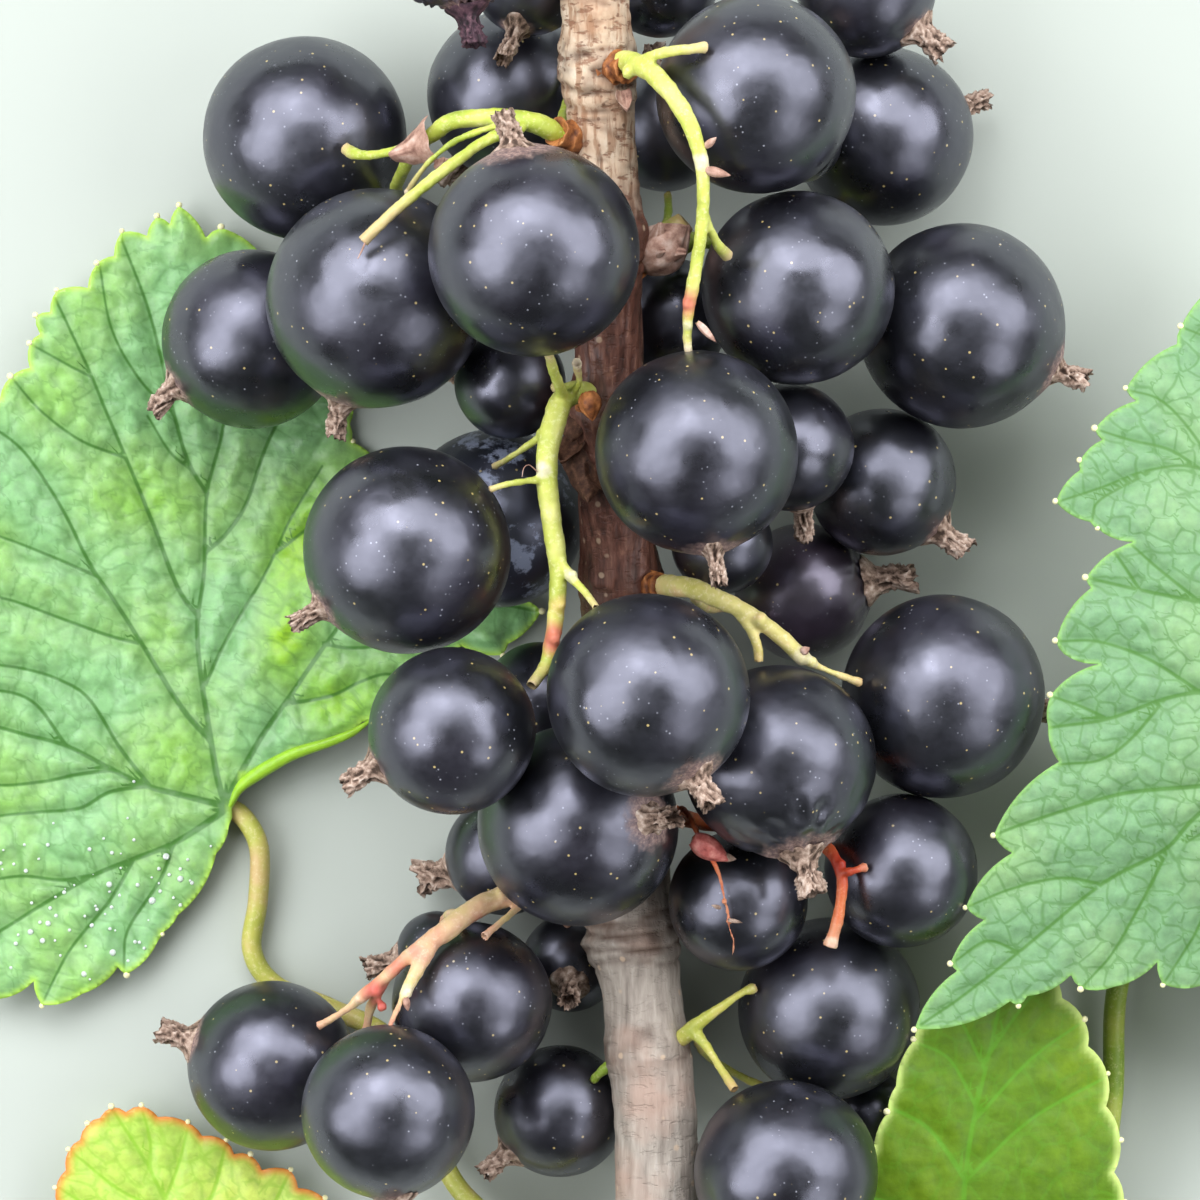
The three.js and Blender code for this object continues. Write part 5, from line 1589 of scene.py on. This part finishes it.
def netField(xy, leaf, draw):
    # distance to the walls of a jittered cell pattern, signed so that a wall crosses zero; on a
    # leaf with a ladder net xy holds the way along and off the nearest vein
    gap = leaf["netGap"]
    low, high = xy.min(0) - 2 * gap, xy.max(0) + 2 * gap
    jitter = blade["netJitter"]
    seeds = []
    for row, y in enumerate(np.arange(low[1], high[1], gap * blade["netRows"])):
        for x in np.arange(low[0], high[0], gap):
            seeds.append((x + gap * (0.5 * (row % 2) + draw.uniform(-jitter, jitter)),
                          y + gap * draw.uniform(-jitter, jitter)))
    tree = treeOf(seeds)
    spots = np.array(seeds)
    drift = [noise.noise_vector(Vector((x * 0.8, y * 0.8, 7))) * blade["netDrift"] for x, y in xy]
    found = [tree.find_n((x + d.x, y + d.y, 0), 2) for (x, y), d in zip(xy, drift)]
    first = np.array([f[0][1] for f in found])
    second = np.array([f[1][1] for f in found])
    near = np.array([f[0][2] for f in found])
    far = np.array([f[1][2] for f in found])
    between = np.linalg.norm(spots[first] - spots[second], axis=1)
    plain = (far ** 2 - near ** 2) / (2 * between)
    return np.where(first < second, plain, -plain), plain


def makeLeaf(name, seed):
    leaf = leaves[name]
    draw = random.Random(seed)
    posts = seenAt(leaf["heights"])
    edgePoints, tips = pathPoints(leaf["margin"])
    margin = onBlade(edgePoints, posts)
    outline = bladeOutline(margin)
    bm = bmesh.new()
    layers = floatLayers(bm, ("veinSide", "veinNear", "veinWide", "netSide", "netNear", "rim", "under",
                              "warm"))
    bm.faces.new([bm.verts.new((p.x, p.y, 0)) for p in outline])
    step = leaf["step"]
    for axis in (Vector((1, 0, 0)), Vector((0, 1, 0))):
        spread = [p.to_3d().dot(axis) for p in outline]
        cuts = list(np.arange(min(spread) + step * 0.37, max(spread), step))
        sliceFaces(bm, list(bm.faces), axis, cuts)
    bmesh.ops.triangulate(bm, faces=[face for face in bm.faces if len(face.verts) > 4])
    bmesh.ops.delete(bm, geom=[vert for vert in bm.verts if not vert.link_faces], context="VERTS")
    verts = list(bm.verts)
    xy = np.array([vert.co.xy[:] for vert in verts])
    veinSide, veinNear, veinWide, veinReach = veinField(xy, leaf, posts)
    rungs = leaf.get("netLadder")  # below 1 the cells stretch away from the veins like rungs
    netSide, netNear = netField(np.c_[veinReach, veinSide * rungs] if rungs else xy, leaf, draw)
    edgeTree = treeOf([(a + (b - a) * t) for a, b in zip(outline, outline[1:] + outline[:1])
                       for t in (0, 0.33, 0.67)])
    edge = np.array([edgeTree.find((x, y, 0))[2] for x, y in xy])
    heights = bladeHeights(xy, posts) + blade["thick"] / 2
    pads = 1 - np.exp(-(np.minimum(netNear, veinNear) / blade["padReach"]) ** 2)
    fields = 1 - np.exp(-(veinNear / blade["fieldReach"]) ** 2)
    groove = np.exp(-(veinNear / (veinWide + blade["grooveReach"])) ** 2)
    calm = 1 - np.exp(-(edge / blade["calmReach"]) ** 2)
    heights += calm * (leaf["pad"] * pads + leaf["field"] * fields - leaf["groove"] * groove)
    ripple = np.array([noise.noise(Vector((x * 0.9, y * 0.9, seed))) for x, y in xy])
    heights += leaf["ripple"] * ripple
    heights = np.maximum(heights, blade["thick"] + 0.03)
    warm = np.array([noise.noise(Vector((x * 0.16, y * 0.16, seed * 3.0))) for x, y in xy])
    # the raised pads turn warmer and lighter: a yellow tone with a painted highlight
    warm = 0.45 * warm + leaf["warmth"] + leaf["padWarmthAndHighlight"] * (pads - 0.6)
    for x, y, reach, extra in leaf.get("warmSpots", []):
        warm += extra * np.exp(-((xy - (x, y)) ** 2).sum(1) / reach ** 2)
    rim = np.exp(-(edge / leaf["rimWidth"]) ** 2)
    values = {"veinSide": veinSide, "veinNear": veinNear, "veinWide": veinWide, "netSide": netSide,
              "netNear": netNear, "rim": rim, "warm": warm}
    for i, vert in enumerate(verts):
        vert.co.z = heights[i]
        for key in values:
            vert[layers[key]] = values[key][i]
    # the underside is the upper face taken down by the blade's thickness, with ribs under the veins
    bmesh.ops.recalc_face_normals(bm, faces=bm.faces)
    if sum(face.normal.z for face in bm.faces) < 0:
        bmesh.ops.reverse_faces(bm, faces=bm.faces)
    lower = bmesh.ops.extrude_face_region(bm, geom=bm.faces[:])["geom"]
    for vert in lower:
        if isinstance(vert, bmesh.types.BMVert):
            rib = math.exp(-(vert[layers["veinNear"]] / blade["ribReach"]) ** 2)
            rib *= vert[layers["veinWide"]] * blade["ribDepth"]
            vert.co.z = max(0.02, vert.co.z - blade["thick"] - rib)
            vert[layers["under"]] = 1.0
    bmesh.ops.recalc_face_normals(bm, faces=bm.faces)
    surface = treeOf(xy)

    def bead(x, y, radius, squash, slot, lift):
        # a gland or water bead sitting on the blade
        top = heights[surface.find((x, y, 0))[1]]
        made = bmesh.ops.create_icosphere(bm, subdivisions=2, radius=radius)["verts"]
        bmesh.ops.scale(bm, vec=(1, 1, squash), verts=made)
        bmesh.ops.translate(bm, verts=made, vec=(x, y, top + lift))
        for face in facesOf(made):
            face.material_index = slot

    middle = Vector(margin.mean(0))
    for (x, y), isTip in zip(margin, tips):
        if isTip:
            out = (Vector((x, y)) - middle).normalized() * blade["glandOut"]
            radius = blade["gland"] * draw.uniform(0.8, 1.1)
            bead(x + out.x, y + out.y, radius, blade["glandSquash"], 1, -blade["glandDown"])
    dew = leaf.get("dew")
    if dew:
        for i in range(dew["count"]):
            x, y = draw.gauss(dew["at"][0], dew["spread"][0]), draw.gauss(dew["at"][1], dew["spread"][1])
            radius = draw.uniform(*dew["radius"])
            radius += dew["extra"] if draw.random() > dew["smallShare"] else 0
            if surface.find((x, y, 0))[2] < step and edgeTree.find((x, y, 0))[2] > dew["clearOfEdge"]:
                bead(x, y, radius, dew["squash"], 2, radius * 0.25)
    # a margin that has rolled over on itself, then the leaf stalk
    stalkRoute = [(across, down, height, leaf["stalkRadius"]) for across, down, height in leaf["petiole"]]
    for route, slot in ((leaf.get("roll"), 0), (stalkRoute, 3)):
        if route:
            known = len(bm.faces)
            bm.from_mesh(evaluatedMesh(tubesAlong([seenAt(route)], 0.4, blade["stalkSides"])))
            bm.faces.ensure_lookup_table()
            bmesh.ops.recalc_face_normals(bm, faces=bm.faces[known:])
            for face in bm.faces[known:]:
                face.material_index = slot
                for vert in face.verts:
                    vert[layers["warm"]] = 0.6
                    vert[layers["veinNear"]] = vert[layers["netNear"]] = 5.0
    materials = [leafFinishes[name], glandFinish, waterAndGlintFinish, stalkFinishes[leaf["stalkTones"]]]
    finishPiece(bm, "blade_" + name, materials, "leaf_" + name)


for seed, name in enumerate(leaves, start=1):
    makeLeaf(name, seed)
    print("leaf made:", name)


# studio: a pale table, an arch of soft light, and a camera straight above

studio = {
    "tableSize": 4000,
    "tableColour": "#b2b8ae",
    "lightDistance": 460,
    "lights": [  # the way to each, its width and height in millimetres, and its watts
        ((-0.72, -0.14, 0.66), (330, 440), 1.65),
        ((-0.46, 0.47, 0.72), (400, 400), 1.85),
        ((0.1, 0.6, 0.76), (460, 320), 1.7),
        ((0.74, 0.22, 0.62), (380, 400), 1.7),
        ((0.62, -0.5, 0.6), (240, 300), 0.5),
    ],
    "lightTint": (0.93, 0.95, 1.0),
    "roomColour": "#dfe8e4",
    "roomLight": 0.08,
    "sensorWidth": 36,
}


def makeStudio():
    bm = bmesh.new()
    bmesh.ops.create_grid(bm, x_segments=40, y_segments=40, size=studio["tableSize"] / 2)
    table = addObject("table", meshInMetres(bm, "table"))
    # matt painted board: even and pale, with a faint brushed unevenness
    m = newMaterial("matt_painted_board")
    place = addNode(m, "TexCoord", output="Object")
    uneven = addNode(m, "TexNoise", {"Vector": place, "Scale": 30.0, "Detail": 3.0})
    tone = addNode(m, "MapRange", {0: uneven, 1: 0.3, 2: 0.7, 3: 0.97, 4: 1.03})
    paint = addNode(m, "HueSaturation", {"Value": tone, "Color": studio["tableColour"]})
    board = addNode(m, "BsdfPrincipled", {"Base Color": paint, "Roughness": 0.8})
    addNode(m, "OutputMaterial", {"Surface": board})
    table.data.materials.append(m)

    for number, (way, (width, height), watts) in enumerate(studio["lights"]):
        light = bpy.data.lights.new("soft_light_%d" % number, "AREA")
        light.shape = "ELLIPSE"
        light.size = width * metre
        light.size_y = height * metre
        light.energy = watts
        light.color = studio["lightTint"]
        lamp = addObject(light.name, light)
        lamp.location = Vector(way).normalized() * studio["lightDistance"] * metre
        lamp.rotation_euler = Vector(way).to_track_quat("Z", "Y").to_euler()

    world = bpy.data.worlds.new("soft_room")
    world.use_nodes = True
    glow = world.node_tree.nodes["Background"].inputs
    glow["Color"].default_value = linearColour(studio["roomColour"])
    glow["Strength"].default_value = studio["roomLight"]
    bpy.context.scene.world = world
    bpy.context.scene.view_settings.view_transform = "Standard"


def makeCamera():
    lens = bpy.data.cameras.new("camera")
    x, y, z = sight["eye"]
    lens.sensor_width = studio["sensorWidth"]
    lens.lens = studio["sensorWidth"] * (z - sight["frontHeight"]) / (sight["steps"] * sight["step"])
    lens.clip_start = 0.01
    view = addObject("camera", lens)
    view.location = (x * metre, y * metre, z * metre)
    bpy.context.scene.camera = view


makeStudio()
makeCamera()
print("studio ready")
